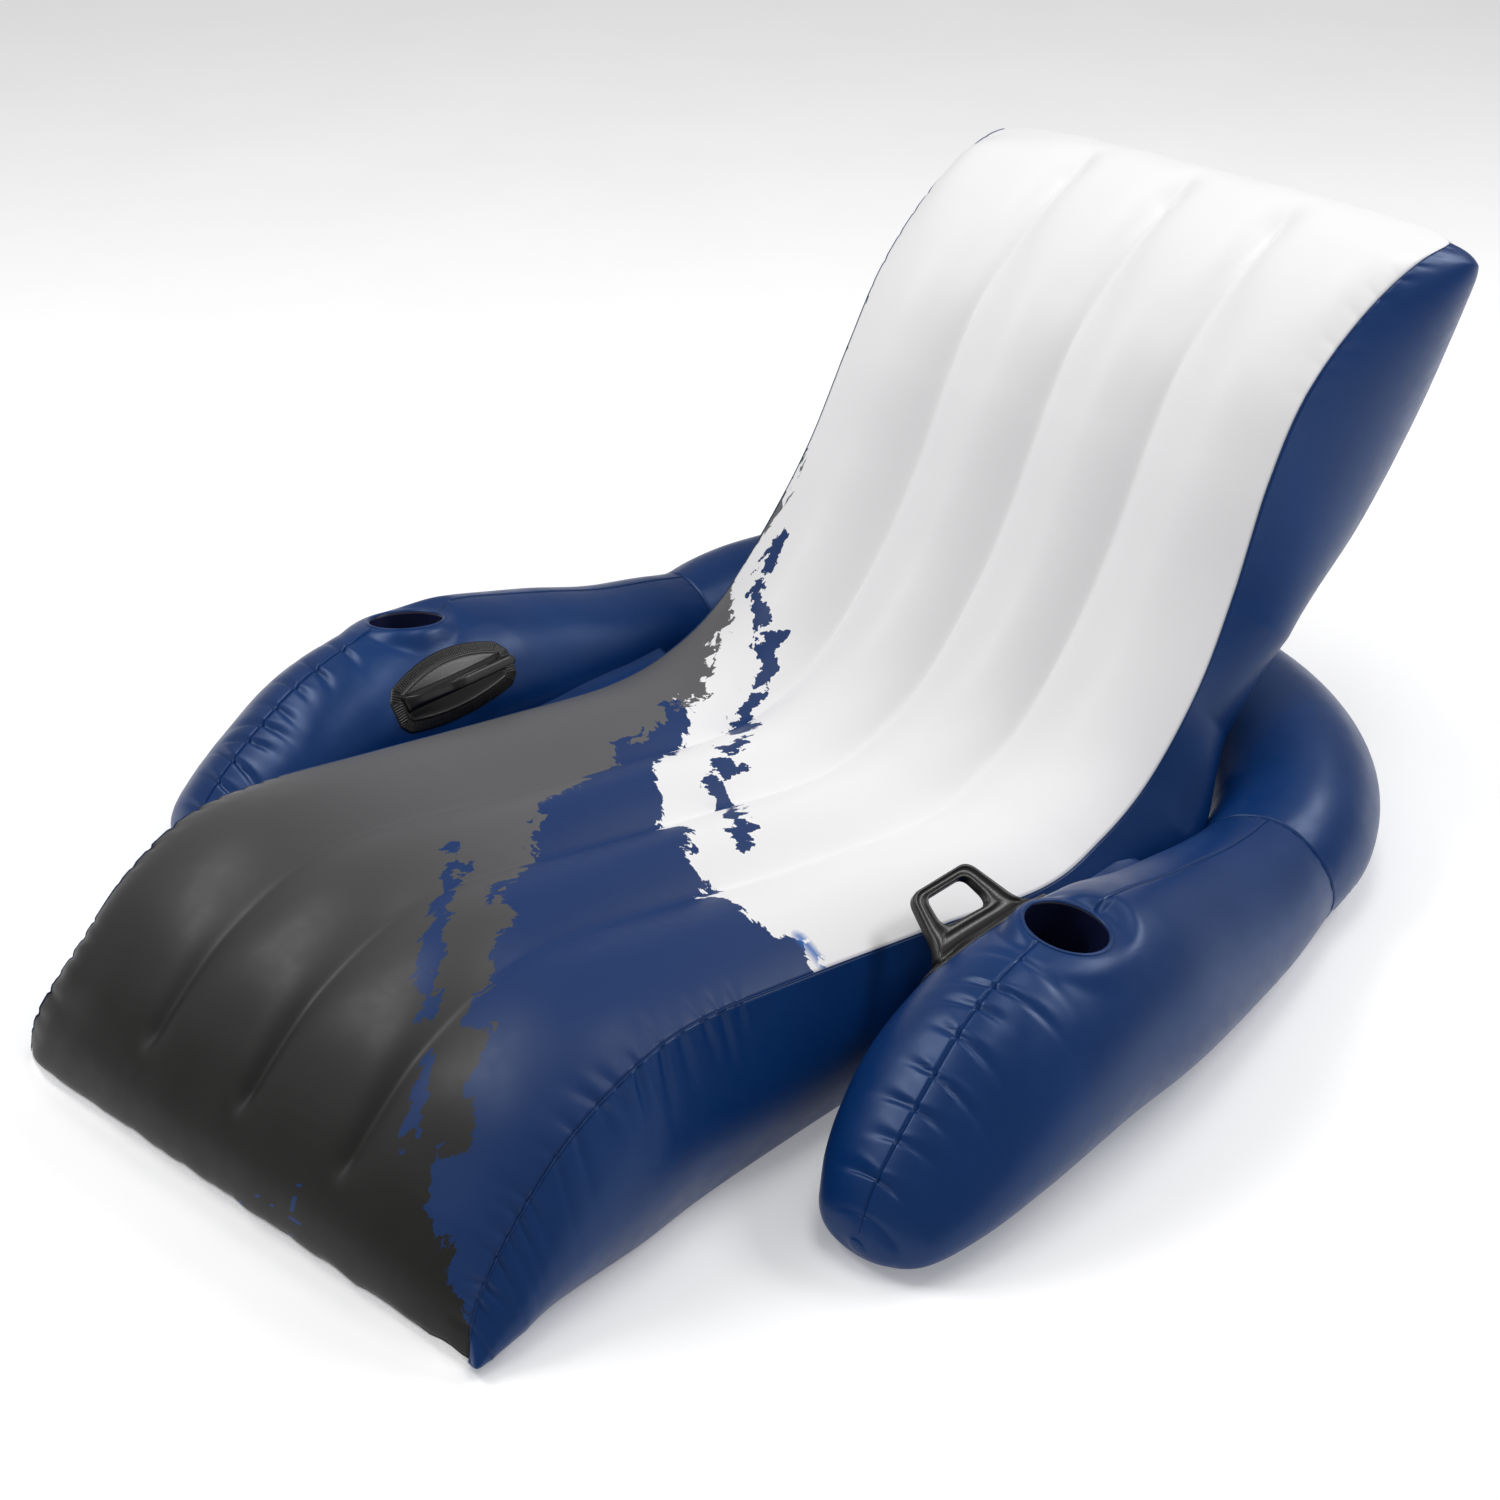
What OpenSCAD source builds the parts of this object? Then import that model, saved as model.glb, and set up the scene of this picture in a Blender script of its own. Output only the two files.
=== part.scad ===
// Inflatable pool lounger: a ribbed recliner body lying in a U-shaped armrest tube.
// X runs across, Y runs from the toe to the head, Z is up. The origin is on the floor at the
// middle of the footprint. Profile lists count their Y back from the toe's lower edge.

/* [Recliner] */
// Width scale of the recliner
seat_wide = 1; // [0.95:0.01:1]
// Distance of the outer longitudinal welds from the middle
web_x = 165; // [140:1:190]
// How far the lobes between the welds rise
lobe_h = 34; // [10:1:40]
// How far the side gussets bulge outwards
gusset_bulge = 38; // [5:1:40]

/* [Armrest tube] */
// Radius of the cup holders
cup_r = 48; // [38:0.5:50]
// Depth of the cup holders
cup_depth = 105; // [80:1:120]

/* [Vinyl] */
// Thickness of the vinyl sheets
sheet_t = 1.5; // [1:0.1:2]

/* [Handles] */
// Height of a handle's loop above its base
loop_h = 78; // [65:1:90]
// Thickness of a handle's loop
loop_t = 12; // [8:0.5:14]

/* [Valves] */
// Inner radius of a valve's neck
neck_r = 10.2; // [10.2:0.1:11]
// Radius of a valve's welded flange
valve_flange_r = 24; // [20:0.5:28]

/* [Hidden] */
$fn = 64;

navy = [0.10, 0.20, 0.40];
white = [0.95, 0.95, 0.95];
pale_grey = [0.82, 0.83, 0.85];
charcoal = [0.09, 0.08, 0.08];

// Y of the toe's lower edge in the part's frame
toe_y = -905;
// Stations from the toe to the head: half the width, top surface Y and Z, underside Y and Z
PROFILE = [
    [387, -14, 2, -12, 0], [377, 14, 69, 25, 0], [371, 80, 133, 85, 0], [372, 150, 190, 150, 0],
    [373, 245, 230, 245, 0], [366, 350, 233, 350, 0], [365, 528, 203, 528, 0], [368, 740, 164, 740, 0],
    [374, 940, 129, 930, 0], [369, 1057, 140, 1090, 0], [367, 1156, 182, 1225, 48],
    [364, 1254, 271, 1344, 190], [355, 1330, 373, 1466, 284], [347, 1400, 500, 1620, 362],
    [347, 1470, 598, 1738, 478], [354, 1575, 674, 1798, 590], [362, 1690, 716, 1812, 668],
    [380, 1788, 722, 1790, 720]];
profile_steps = 2;
// Stations of the tube from the nose of an arm to the middle of the back: centre X and Y,
// half the width, height, and how high its underside is above the floor
ARM = [
    [568, 374, 12, 16, 22], [568, 380, 44, 46, 11], [567, 396, 70, 84, 3], [566, 430, 91, 123, 0],
    [562, 486, 110, 168, 0], [556, 560, 123, 214, 0], [551, 650, 127, 244, 0],
    [549, 750, 125, 252, 0], [546, 850, 122, 240, 0], [536, 970, 114, 206, 0],
    [522, 1100, 103, 172, 0], [502, 1221, 92, 152, 0]];
REAR = [
    [502, 1221, 92, 152, 0], [474, 1325, 104, 172, 0], [404, 1422, 115, 190, 0],
    [295, 1496, 120, 200, 0], [155, 1538, 122, 204, 0], [0, 1550, 122, 204, 0]];
tube_steps = 2;

// Cup holders: middle of the rim in the part's frame, tipped with the arm's surface
cup_x = 549;
cup_y = toe_y + 742;
cup_top = 247;
cup_lean = 10;
cup_tip = 8;
cup_lip = 7;

// Handles: middle of the base on the arm, and the lean of the loop away from upright
handle_y = toe_y + 730;
handle_lean = 58;
handle_half_l = 102;
handle_half_w = 47;
handle_base_t = 3;
arm_r = 125.5;
arm_x = 549;

// Valves, along their own outward axis; z = 0 is the sheet's outer face
neck_t = 2.8;
stopper_clear = 0.3;
stopper_out = 8.6;
stopper_in = -12;
bore_r = 4.5;
rim_r = 13.5;
cap_r = 7.5;
cap_hinge_x = 14.2;
seat_valve_station = 29;

// ---------- curves ----------
function last(v) = v[len(v) - 1];
function blend4(a, b, c, d, t) =
    0.5 * (2 * b + (c - a) * t + (2 * a - 5 * b + 4 * c - d) * t * t + (3 * b - a - 3 * c + d) * t * t * t);
// Smooth curve through all the rows of p, with n steps between neighbours
function curve(p, n) = concat(
    [for (i = [0 : len(p) - 2], k = [0 : n - 1])
        blend4(p[max(i - 1, 0)], p[i], p[i + 1], p[min(i + 2, len(p) - 1)], k / n)],
    [last(p)]);
function unit(v) = v / norm(v);
function slope(p, i) = unit(p[min(i + 1, len(p) - 1)] - p[max(i - 1, 0)]);
function reversed(v) = [for (i = [len(v) - 1 : -1 : 0]) v[i]];

stations = curve(PROFILE, profile_steps);
half_w = [for (s = stations) s[0] * seat_wide];
top_line = [for (s = stations) [s[1] + toe_y, s[2]]];
low_line = [for (s = stations) [s[3] + toe_y, max(s[4], 0)]];
station_count = len(stations);
// Outward normals of the two lines, in the YZ plane
function top_normal(i) = let(d = slope(top_line, i)) [-d[1], d[0]];
function low_normal(i) = let(d = slope(low_line, i)) [d[1], -d[0]];

// The welds run straight; the outer lobes end at the side seams, wherever those are
function weld_xs(i) = [-half_w[i], -web_x, 0, web_x, half_w[i]];
lobe_steps = 4;
arch = [for (j = [0 : lobe_steps - 1]) 1 - pow(2 * j / lobe_steps - 1, 2)];
// Points across station i, each an X and the share of the lobes' height there
function lobe_points(i) = let(w = weld_xs(i)) concat(
    [for (k = [0 : 3], j = [0 : lobe_steps - 1]) [w[k] + (w[k + 1] - w[k]) * j / lobe_steps, arch[j]]],
    [[w[4], 0]]);
// The lobes fade out towards the toe and the head
function fade(i) = min(1, i / 6, (station_count - 1 - i) / 7);

// ---------- sheets ----------
function grid_faces(n, m, at, turn) = [for (i = [0 : n - 2], j = [0 : m - 2], h = [0, 1])
    let(a = at + i * m + j, b = a + 1, c = a + m, d = c + 1, f = h == 0 ? [a, b, c] : [b, d, c])
    turn ? reversed(f) : f];
function rim_loop(n, m) = concat([for (j = [0 : m - 2]) j], [for (i = [0 : n - 2]) i * m + m - 1],
    [for (j = [m - 1 : -1 : 1]) (n - 1) * m + j], [for (i = [n - 1 : -1 : 1]) i * m]);
// A closed thin solid between two grids of points, both given as rows. Seen from outside, the
// next row lies to the left of the points' own direction; where it lies to the right, flip it.
module sheet(outer, inner, flip = false) {
    n = len(outer);
    m = len(outer[0]);
    ring = rim_loop(n, m);
    k = len(ring);
    walls = [for (q = [0 : k - 1], h = [0, 1])
        let(a = ring[q], b = ring[(q + 1) % k], c = a + n * m, d = b + n * m)
        h == 0 ? [b, a, c] : [b, c, d]];
    skin = concat(grid_faces(n, m, 0, false), grid_faces(n, m, n * m, true), walls);
    polyhedron(points = concat([for (r = outer) each r], [for (r = inner) each r]),
        faces = flip ? [for (f = skin) reversed(f)] : skin);
}

// ---------- recliner ----------
function lobed_row(i, p, v, rise, off) = [for (q = lobe_points(i))
    let(h = rise * q[1] - off) [q[0], p[0] + v[0] * h, p[1] + v[1] * h]];
function top_row(i, off) = lobed_row(i, top_line[i], top_normal(i), lobe_h * fade(i), off);

module seat_top_panel() {
    color(white) sheet([for (i = [0 : station_count - 1]) top_row(i, 0)],
        [for (i = [0 : station_count - 1]) top_row(i, sheet_t)], flip = true);
}

back_first = 18;
back_last = station_count - 1;
// The back's lobes are lower, and start above the floor
function back_fade(i) = min(1, max(0, i - back_first - 2) / 4, (back_last - i) / 5);
function back_rise(i) = 0.7 * lobe_h * back_fade(i);
function back_row(i, off) = lobed_row(i, low_line[i], low_normal(i), back_rise(i), off);
// Outline of the flat part, which lies on the floor
flat_edge = [for (i = [0 : back_first]) [half_w[i], low_line[i][0]]];

module seat_bottom_panel() {
    color(pale_grey) union() {
        linear_extrude(sheet_t)
            polygon(concat(flat_edge, reversed([for (p = flat_edge) [-p[0], p[1]]])));
        difference() {
            sheet([for (i = [back_first - 1 : back_last]) back_row(i, 0)],
                [for (i = [back_first - 1 : back_last]) back_row(i, sheet_t)]);
            place_seat_valve() valve_hole();
        }
    }
}

gusset_rows = 8;
// Where the rear tube presses the gussets flat, and over what length
pinch_y = 410;
pinch_l = 170;
function pinch(y) = 1 - 0.8 * max(0, 1 - abs(y - pinch_y) / pinch_l);
// The gusset leaves the top seam gently and tucks in steeply above the underside
function gusset_shape(t) = pow(max(0, sin(180 * pow(t, 1.3))), 0.8);
function gusset_row(i, off) = let(a = top_line[i], b = low_line[i],
        swell = gusset_bulge * min(1, norm(a - b) / 120) * pinch(b[0]))
    [for (k = [0 : gusset_rows]) let(t = k / gusset_rows, p = a + (b - a) * t)
        [half_w[i] + swell * gusset_shape(t) - off, p[0], p[1]]];

module seat_gusset() {
    color(navy) sheet([for (i = [0 : station_count - 1]) gusset_row(i, 0)],
        [for (i = [0 : station_count - 1]) gusset_row(i, sheet_t)], flip = true);
}

web_first = 3;
web_last = station_count - 4;
web_bite = 0.5 * sheet_t;
passage_r = 22;
// A web between the top and the underside, with holes that let the air pass
module seat_web(x) {
    upper = [for (i = [web_first : web_last]) top_line[i] - top_normal(i) * web_bite];
    lower = [for (i = [web_last : -1 : web_first]) low_line[i] - low_normal(i) * web_bite];
    color(white) difference() {
        translate([x - sheet_t / 2, 0, 0]) rotate([90, 0, 90])
            linear_extrude(sheet_t) polygon(concat(upper, lower));
        for (i = [9, 14, 19, 24, 28]) let(c = (top_line[i] + low_line[i]) / 2)
            translate([x - sheet_t, c[0], c[1]]) rotate([0, 90, 0])
                cylinder(r = passage_r, h = 2 * sheet_t, $fn = 32);
    }
}

// ---------- armrest tube ----------
arm_line = curve(ARM, tube_steps);
rear_half = curve(REAR, tube_steps);
rear_line = concat(rear_half, [for (i = [len(rear_half) - 2 : -1 : 0]) let(s = rear_half[i])
    [-s[0], s[1], s[2], s[3], s[4]]]);
function across(p, i) = let(d = slope([for (s = p) [s[0], s[1]]], i)) [d[1], -d[0]];
// How far a section's outer side sags: out below its middle and in above it
slump = 0.1;
function reach(a) = cos(a) - (cos(a) > 0 ? slump * sin(2 * a) : 0);
// Points round one section, from angle a0 to a1, drawn in by off
function tube_row(p, i, a0, a1, n, off) = 
    let(s = p[i], v = across(p, i), r = s[2] - off, h = s[3] / 2)
    [for (k = [0 : n]) let(a = a0 + (a1 - a0) * k / n)
        [s[0] + v[0] * r * reach(a), s[1] + toe_y + v[1] * r * reach(a),
            max(s[4], 0) + h + (h - off) * sin(a)]];
module tube_sheet(p, a0, a1, n) {
    sheet([for (i = [0 : len(p) - 1]) tube_row(p, i, a0, a1, n, 0)],
        [for (i = [0 : len(p) - 1]) tube_row(p, i, a0, a1, n, sheet_t)]);
}

module place_cup() { translate([cup_x, cup_y, cup_top]) rotate([-cup_tip, cup_lean, 0]) children(); }
module cup_cut() {
    place_cup() translate([0, 0, -cup_depth]) cylinder(r = cup_r + sheet_t, h = 2 * cup_depth);
}

module arm_panel(a0, a1) {
    color(navy) difference() {
        tube_sheet(arm_line, a0, a1, 10);
        cup_cut();
    }
}

seam_low = -38;
seam_inner = 215;
module rear_tube_upper_panel() {
    color(navy) difference() {
        tube_sheet(rear_line, seam_low, seam_inner, 12);
        place_tube_valve() valve_hole();
    }
}
module rear_tube_lower_panel() {
    color(navy) tube_sheet(rear_line, seam_inner, 360 + seam_low, 6);
}

// ---------- cup holders ----------
module cup_sleeve() {
    color(charcoal) place_cup() translate([0, 0, -cup_depth]) rotate_extrude()
        polygon([[cup_r, 0], [cup_r + sheet_t, 0], [cup_r + sheet_t, cup_depth - sheet_t],
            [cup_r + cup_lip, cup_depth - sheet_t], [cup_r + cup_lip, cup_depth], [cup_r, cup_depth]]);
}
module cup_floor() {
    color(charcoal) place_cup() translate([0, 0, -cup_depth - sheet_t])
        cylinder(r = cup_r + sheet_t, h = sheet_t);
}

// ---------- grab handles ----------
// Corners of an outline rounded by arcs of radius r
function corner(a, b, c, r, n) = let(u = unit(a - b), w = unit(c - b), half = acos(u * w) / 2,
        m = b + unit(u + w) * r / sin(half), s = b + u * r / tan(half), e = b + w * r / tan(half),
        a0 = atan2(s[1] - m[1], s[0] - m[0]), a1 = atan2(e[1] - m[1], e[0] - m[0]),
        turn = (a1 - a0 > 180) ? a1 - a0 - 360 : (a1 - a0 < -180) ? a1 - a0 + 360 : a1 - a0)
    [for (k = [0 : n]) m + r * [cos(a0 + turn * k / n), sin(a0 + turn * k / n)]];
function rounded(p, r, n) = [for (i = [0 : len(p) - 1])
    each corner(p[(i + len(p) - 1) % len(p)], p[i], p[(i + 1) % len(p)], r, n)];

loop_foot = 76;
loop_top = 50;
gap_foot = 46;
gap_top = 34;
gap_low = 24;
gap_high = loop_h - 13;
foot_sink = 4;
module handle_loop() {
    translate([-loop_t / 2, 0, 0]) rotate([90, 0, 90]) linear_extrude(loop_t) difference() {
        polygon(rounded([[-loop_foot, -foot_sink], [loop_foot, -foot_sink], [loop_top, loop_h],
            [-loop_top, loop_h]], 3, 3));
        polygon(rounded([[-gap_foot, gap_low], [gap_foot, gap_low], [gap_top, gap_high],
            [-gap_top, gap_high]], 10, 4));
    }
}
// Half the angle that the base spans on the arm, narrower towards its ends
function base_half_angle(t) = handle_half_w / arm_r * 180 / PI * min(1, 0.45 + 1.6 * (1 - abs(t)));
function base_row(t, r) = [for (k = [-4 : 4])
    let(a = 90 + handle_lean + base_half_angle(t) * k / 4)
    [arm_x + r * cos(a), handle_y + handle_half_l * t, arm_r + r * sin(a)]];
base_lift = 0.2;
module grab_handle() {
    color(charcoal) union() {
        sheet([for (q = [-6 : 6]) base_row(q / 6, arm_r + handle_base_t)],
            [for (q = [-6 : 6]) base_row(q / 6, arm_r - base_lift)]);
        translate([arm_x, handle_y, arm_r]) rotate([0, -handle_lean, 0])
            translate([0, 0, arm_r + handle_base_t]) handle_loop();
    }
}

// ---------- joining strips ----------
// Flat strips that tie the tube to the recliner: one along each arm and one at the back
side_strip = [386, -260, 112];
side_strip_size = [41, 450, sheet_t];
rear_strip_z = 128;
rear_strip_y = [394, 531];
rear_strip_w = 240;
module joining_strip() {
    color(navy) translate(side_strip) cube(side_strip_size);
}
module rear_joining_strip() {
    color(navy) translate([-rear_strip_w / 2, rear_strip_y[0], rear_strip_z])
        cube([rear_strip_w, rear_strip_y[1] - rear_strip_y[0], sheet_t]);
}

// ---------- valves ----------
module place_tube_valve() {
    translate([0, last(REAR)[1] + toe_y + last(REAR)[2], last(REAR)[3] / 2]) rotate([-90, 0, 0]) children();
}
module place_seat_valve() {
    p = low_line[seat_valve_station];
    v = low_normal(seat_valve_station);
    rise = back_rise(seat_valve_station);
    translate([-web_x / 2, p[0] + v[0] * rise, p[1] + v[1] * rise])
        rotate([-atan2(v[0], v[1]), 0, 0]) children();
}
module valve_hole() {
    translate([0, 0, -30]) cylinder(r = neck_r + neck_t, h = 60);
}
module valve_base() {
    color(pale_grey) rotate_extrude() polygon([[neck_r, -14], [neck_r + neck_t, -14],
        [neck_r + neck_t, -1], [valve_flange_r, -1], [valve_flange_r, 0.8], [neck_r + neck_t, 2],
        [neck_r + neck_t, 6], [neck_r, 6]]);
}
module valve_stopper() {
    r = neck_r - stopper_clear;
    color(white) rotate_extrude() polygon([[bore_r, stopper_in], [r, stopper_in], [r, 6.3],
        [rim_r, 6.3], [rim_r, stopper_out], [bore_r, stopper_out]]);
}
flap_t = 0.8;
module valve_flap() {
    color(white) translate([0, 0, stopper_in - 0.3 - flap_t]) cylinder(r = 7.5, h = flap_t);
}
plug_r = 4;
plug_l = 2.4;
strap_w = 7;
cap_base = stopper_out + 0.3;
module valve_cap() {
    color(white) union() {
        translate([0, 0, cap_base - plug_l]) cylinder(r = plug_r, h = plug_l);
        translate([0, 0, cap_base]) cylinder(r = cap_r, h = 1.8);
        translate([0, -strap_w / 2, cap_base]) cube([cap_hinge_x + 0.6, strap_w, 1.2]);
    }
}

module on_left() { mirror([1, 0, 0]) children(); }

seat_top_panel();
seat_bottom_panel();
on_left() seat_gusset();  // left_seat_gusset
seat_gusset();  // right_seat_gusset
seat_web(-web_x);  // left_seat_web
seat_web(0);  // centre_seat_web
seat_web(web_x);  // right_seat_web
on_left() arm_panel(90, 270);  // left_arm_inner_panel
on_left() arm_panel(-90, 90);  // left_arm_outer_panel
arm_panel(90, 270);  // right_arm_inner_panel
arm_panel(-90, 90);  // right_arm_outer_panel
rear_tube_upper_panel();
rear_tube_lower_panel();
on_left() cup_sleeve();  // left_cup_sleeve
on_left() cup_floor();  // left_cup_floor
cup_sleeve();  // right_cup_sleeve
cup_floor();  // right_cup_floor
on_left() grab_handle();  // left_grab_handle
grab_handle();  // right_grab_handle
on_left() joining_strip();  // left_joining_strip
joining_strip();  // right_joining_strip
rear_joining_strip();
place_seat_valve() valve_base();  // seat_valve_base
place_seat_valve() valve_stopper();  // seat_valve_stopper
place_seat_valve() valve_flap();  // seat_valve_flap
place_seat_valve() valve_cap();  // seat_valve_cap
place_tube_valve() valve_base();  // tube_valve_base
place_tube_valve() valve_stopper();  // tube_valve_stopper
place_tube_valve() valve_flap();  // tube_valve_flap
place_tube_valve() valve_cap();  // tube_valve_cap
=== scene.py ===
import math
import random
from contextlib import contextmanager

import bmesh
import bpy
import numpy as np
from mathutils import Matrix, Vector


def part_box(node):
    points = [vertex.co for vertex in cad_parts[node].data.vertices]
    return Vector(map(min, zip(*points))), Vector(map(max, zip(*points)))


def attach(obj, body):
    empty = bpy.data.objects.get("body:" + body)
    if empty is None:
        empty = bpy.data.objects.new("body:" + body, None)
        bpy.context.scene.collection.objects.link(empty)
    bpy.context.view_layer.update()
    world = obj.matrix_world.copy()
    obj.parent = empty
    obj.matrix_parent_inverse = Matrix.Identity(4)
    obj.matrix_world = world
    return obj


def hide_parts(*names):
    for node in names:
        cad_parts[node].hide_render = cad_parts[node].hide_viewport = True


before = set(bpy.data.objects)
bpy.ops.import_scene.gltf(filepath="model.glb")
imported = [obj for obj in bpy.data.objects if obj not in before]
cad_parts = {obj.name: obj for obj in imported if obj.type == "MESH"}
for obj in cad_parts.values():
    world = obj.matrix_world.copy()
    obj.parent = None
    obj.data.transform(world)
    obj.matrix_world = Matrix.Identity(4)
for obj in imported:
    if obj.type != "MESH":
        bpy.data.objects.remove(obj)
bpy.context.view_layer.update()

# ---------------------------------------------------------------- dimensions, in metres
MM = 0.001
TOE_Y = -0.905
# Recliner stations, in millimetres: half width, top Y and Z, underside Y and Z, from the toe up
PROFILE = [
    [387, -14, 20, -12, 0], [377, 14, 69, 25, 0], [371, 80, 133, 85, 0], [372, 150, 190, 150, 0],
    [373, 245, 230, 245, 0], [366, 350, 233, 350, 0], [365, 528, 203, 528, 0], [368, 740, 164, 740, 0],
    [374, 940, 129, 930, 0], [369, 1057, 140, 1090, 0], [367, 1156, 182, 1225, 48],
    [364, 1254, 271, 1344, 190], [355, 1330, 373, 1466, 284], [347, 1400, 500, 1620, 362],
    [347, 1470, 598, 1738, 478], [354, 1575, 674, 1798, 590], [362, 1690, 716, 1812, 668],
    [374, 1788, 722, 1790, 720]]
FLAT_ROWS = 9.0
TOE_TURN = 0.036
WEB_X = 0.165
LOBE_H = 0.034
BACK_LOBE = 0.7
# Armrest tube stations, in millimetres: centre X and Y, half width, height, height off the floor
ARM = [
    [568, 374, 12, 16, 22], [568, 380, 44, 46, 11], [567, 396, 70, 84, 3], [566, 430, 91, 123, 0],
    [562, 486, 110, 168, 0], [556, 560, 123, 214, 0], [551, 650, 127, 244, 0],
    [549, 750, 125, 252, 0], [546, 850, 122, 240, 0], [536, 970, 114, 206, 0],
    [522, 1100, 103, 172, 0], [502, 1221, 92, 152, 0]]
REAR = [
    [502, 1221, 92, 152, 0], [474, 1325, 104, 172, 0], [404, 1422, 115, 190, 0],
    [295, 1496, 120, 200, 0], [155, 1538, 122, 204, 0], [0, 1550, 122, 204, 0]]
SLUMP = 0.1
SHEET = 0.0009
CUP_R = 0.048
CUP_DEPTH = 0.105
# Middle of the right cup holder's rim, and its axis, tipped with the arm's surface
CUP = np.array([0.549, TOE_Y + 0.742, 0.244])
CUP_AXIS = np.array([0.171958, 0.139173, 0.975224])
TUBE_VALVE = np.array([0.0, 0.767, 0.102])
SEAT_VALVE = np.array([-0.0825, 0.890479, 0.525136])
SEAT_VALVE_AXIS = np.array([0.0, 0.88148, -0.472221])
VALVE_R = 0.0131
HANDLE_ANGLE = math.radians(148)
HANDLE_ROW = 6.8
HANDLE_Y = -0.175
HANDLE_RADIUS = 0.1255
BASE_L, BASE_W = 0.102, 0.047


# ---------------------------------------------------------------- curves and grids
def spline(rows, u):
    """Smooth curve through the rows, at the row numbers u."""
    p = np.array(rows, float)
    last = len(p) - 1
    i = np.clip(np.floor(u).astype(int), 0, last - 1)
    t = (u - i)[:, None]
    a, b, c, d = p[np.maximum(i - 1, 0)], p[i], p[i + 1], p[np.minimum(i + 2, last)]
    return 0.5 * (2 * b + (c - a) * t + (2 * a - 5 * b + 4 * c - d) * t**2 + (3 * b - a - 3 * c + d) * t**3)


def arc_length(points):
    steps = np.linalg.norm(np.diff(points, axis=0), axis=1)
    return np.concatenate([[0.0], np.cumsum(steps)])


def even_rows(rows, columns, step):
    """Row numbers whose points lie a step apart along the curve made by the given columns."""
    dense = np.linspace(0, len(rows) - 1, 4000)
    length = arc_length(spline(rows, dense)[:, columns] * MM)
    count = int(length[-1] / step)
    return np.interp(np.linspace(0, length[-1], count + 1), length, dense)


def smooth(low, high, x):
    t = np.clip((x - low) / (high - low), 0, 1)
    return t * t * (3 - 2 * t)


def unit(v):
    return v / np.maximum(np.linalg.norm(v, axis=-1, keepdims=True), 1e-12)


def wave_noise(x, y, seed, size):
    """Smooth seeded ripple between about -1 and 1, with features of the given size."""
    rng = random.Random(seed)
    total = np.zeros(np.broadcast(x, y).shape)
    for _ in range(7):
        turn = rng.uniform(0, 2 * math.pi)
        pitch = size * rng.uniform(0.7, 1.6)
        phase = rng.uniform(0, 2 * math.pi)
        total += np.sin((x * math.cos(turn) + y * math.sin(turn)) * 2 * math.pi / pitch + phase)
    return total / 4


class Folds:
    """A row of short folds across a seam: where each one is, how deep, how wide and how long.

    reach holds the folds' length on the side where d is negative and on the other side."""

    def __init__(self, seed, start, stop, gap, depth, width, reach, lean=0.25):
        rng = random.Random(seed)
        self.rows = []
        s = start + gap * 0.3
        while s < stop:
            edge = min(1.0, (s - start) / (2 * gap) + 0.35, (stop - s) / (2 * gap) + 0.35)
            self.rows.append((s, depth * edge * rng.uniform(0.55, 1.15), width * rng.uniform(0.8, 1.3),
                              reach[0] * rng.uniform(0.6, 1.2), reach[1] * rng.uniform(0.6, 1.2),
                              lean * rng.uniform(-1, 1), rng.uniform(0.15, 0.35)))
            s += gap * rng.uniform(0.7, 1.35)

    def depth(self, s, d):
        """How far the sheet is drawn in at s along the seam and d to its side."""
        total = np.zeros(np.broadcast(s, d).shape)
        for at, deep, wide, left, right, lean, ridge in self.rows:
            reach = np.where(d < 0, left, right)
            along = (s - at - lean * d) / (wide * (0.50 + 0.9 * np.abs(d) / reach))
            along = np.where(along < 0, along * 1.35, along * 0.85)
            fade = np.exp(-((np.abs(d) / reach) ** 2) * 1.6)
            total += deep * fade * (np.exp(-(along**2)) - ridge * np.exp(-((along - 1.9) ** 2)))
        return total


# ---------------------------------------------------------------- mesh helpers
def new_object(name, mesh):
    obj = bpy.data.objects.new(name, mesh)
    bpy.context.scene.collection.objects.link(obj)
    return obj


def grid_object(name, points, u, v, material, flip=False, wrap=False):
    """A mesh from a grid of points, with a UV map in metres. wrap joins the last column to the first."""
    n, m = points.shape[:2]
    faces = []
    for i in range(n - 1):
        for j in range(m if wrap else m - 1):
            k = (j + 1) % m
            f = (i * m + j, i * m + k, (i + 1) * m + k, (i + 1) * m + j)
            faces.append(f[::-1] if flip else f)
    mesh = bpy.data.meshes.new(name)
    mesh.from_pydata(points.reshape(-1, 3).tolist(), [], faces)
    layer = mesh.uv_layers.new(name="panel")
    corner = np.zeros(len(mesh.loops), np.int32)
    mesh.loops.foreach_get("vertex_index", corner)
    flat = np.stack([np.broadcast_to(u, (n, m)).ravel(), np.broadcast_to(v, (n, m)).ravel()], 1)
    layer.data.foreach_set("uv", flat[corner].astype(np.float32).ravel())
    mesh.materials.append(material)
    mesh.polygons.foreach_set("use_smooth", [True] * len(mesh.polygons))
    mesh.update()
    return new_object(name, mesh)


@contextmanager
def editing(mesh):
    """Opens a mesh for editing, and writes it back."""
    bm = bmesh.new()
    bm.from_mesh(mesh)
    yield bm
    bm.to_mesh(mesh)
    bm.free()


def settle(obj):
    """Applies every modifier on obj."""
    depsgraph = bpy.context.evaluated_depsgraph_get()
    mesh = bpy.data.meshes.new_from_object(obj.evaluated_get(depsgraph))
    obj.modifiers.clear()
    obj.data = mesh
    return obj


def thicken(obj, thickness=SHEET):
    """Turns a sheet into a closed skin, inward from its surface."""
    solid = obj.modifiers.new("skin", "SOLIDIFY")
    solid.thickness = thickness
    solid.offset = -1
    solid.use_rim = True
    return settle(obj)


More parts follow.
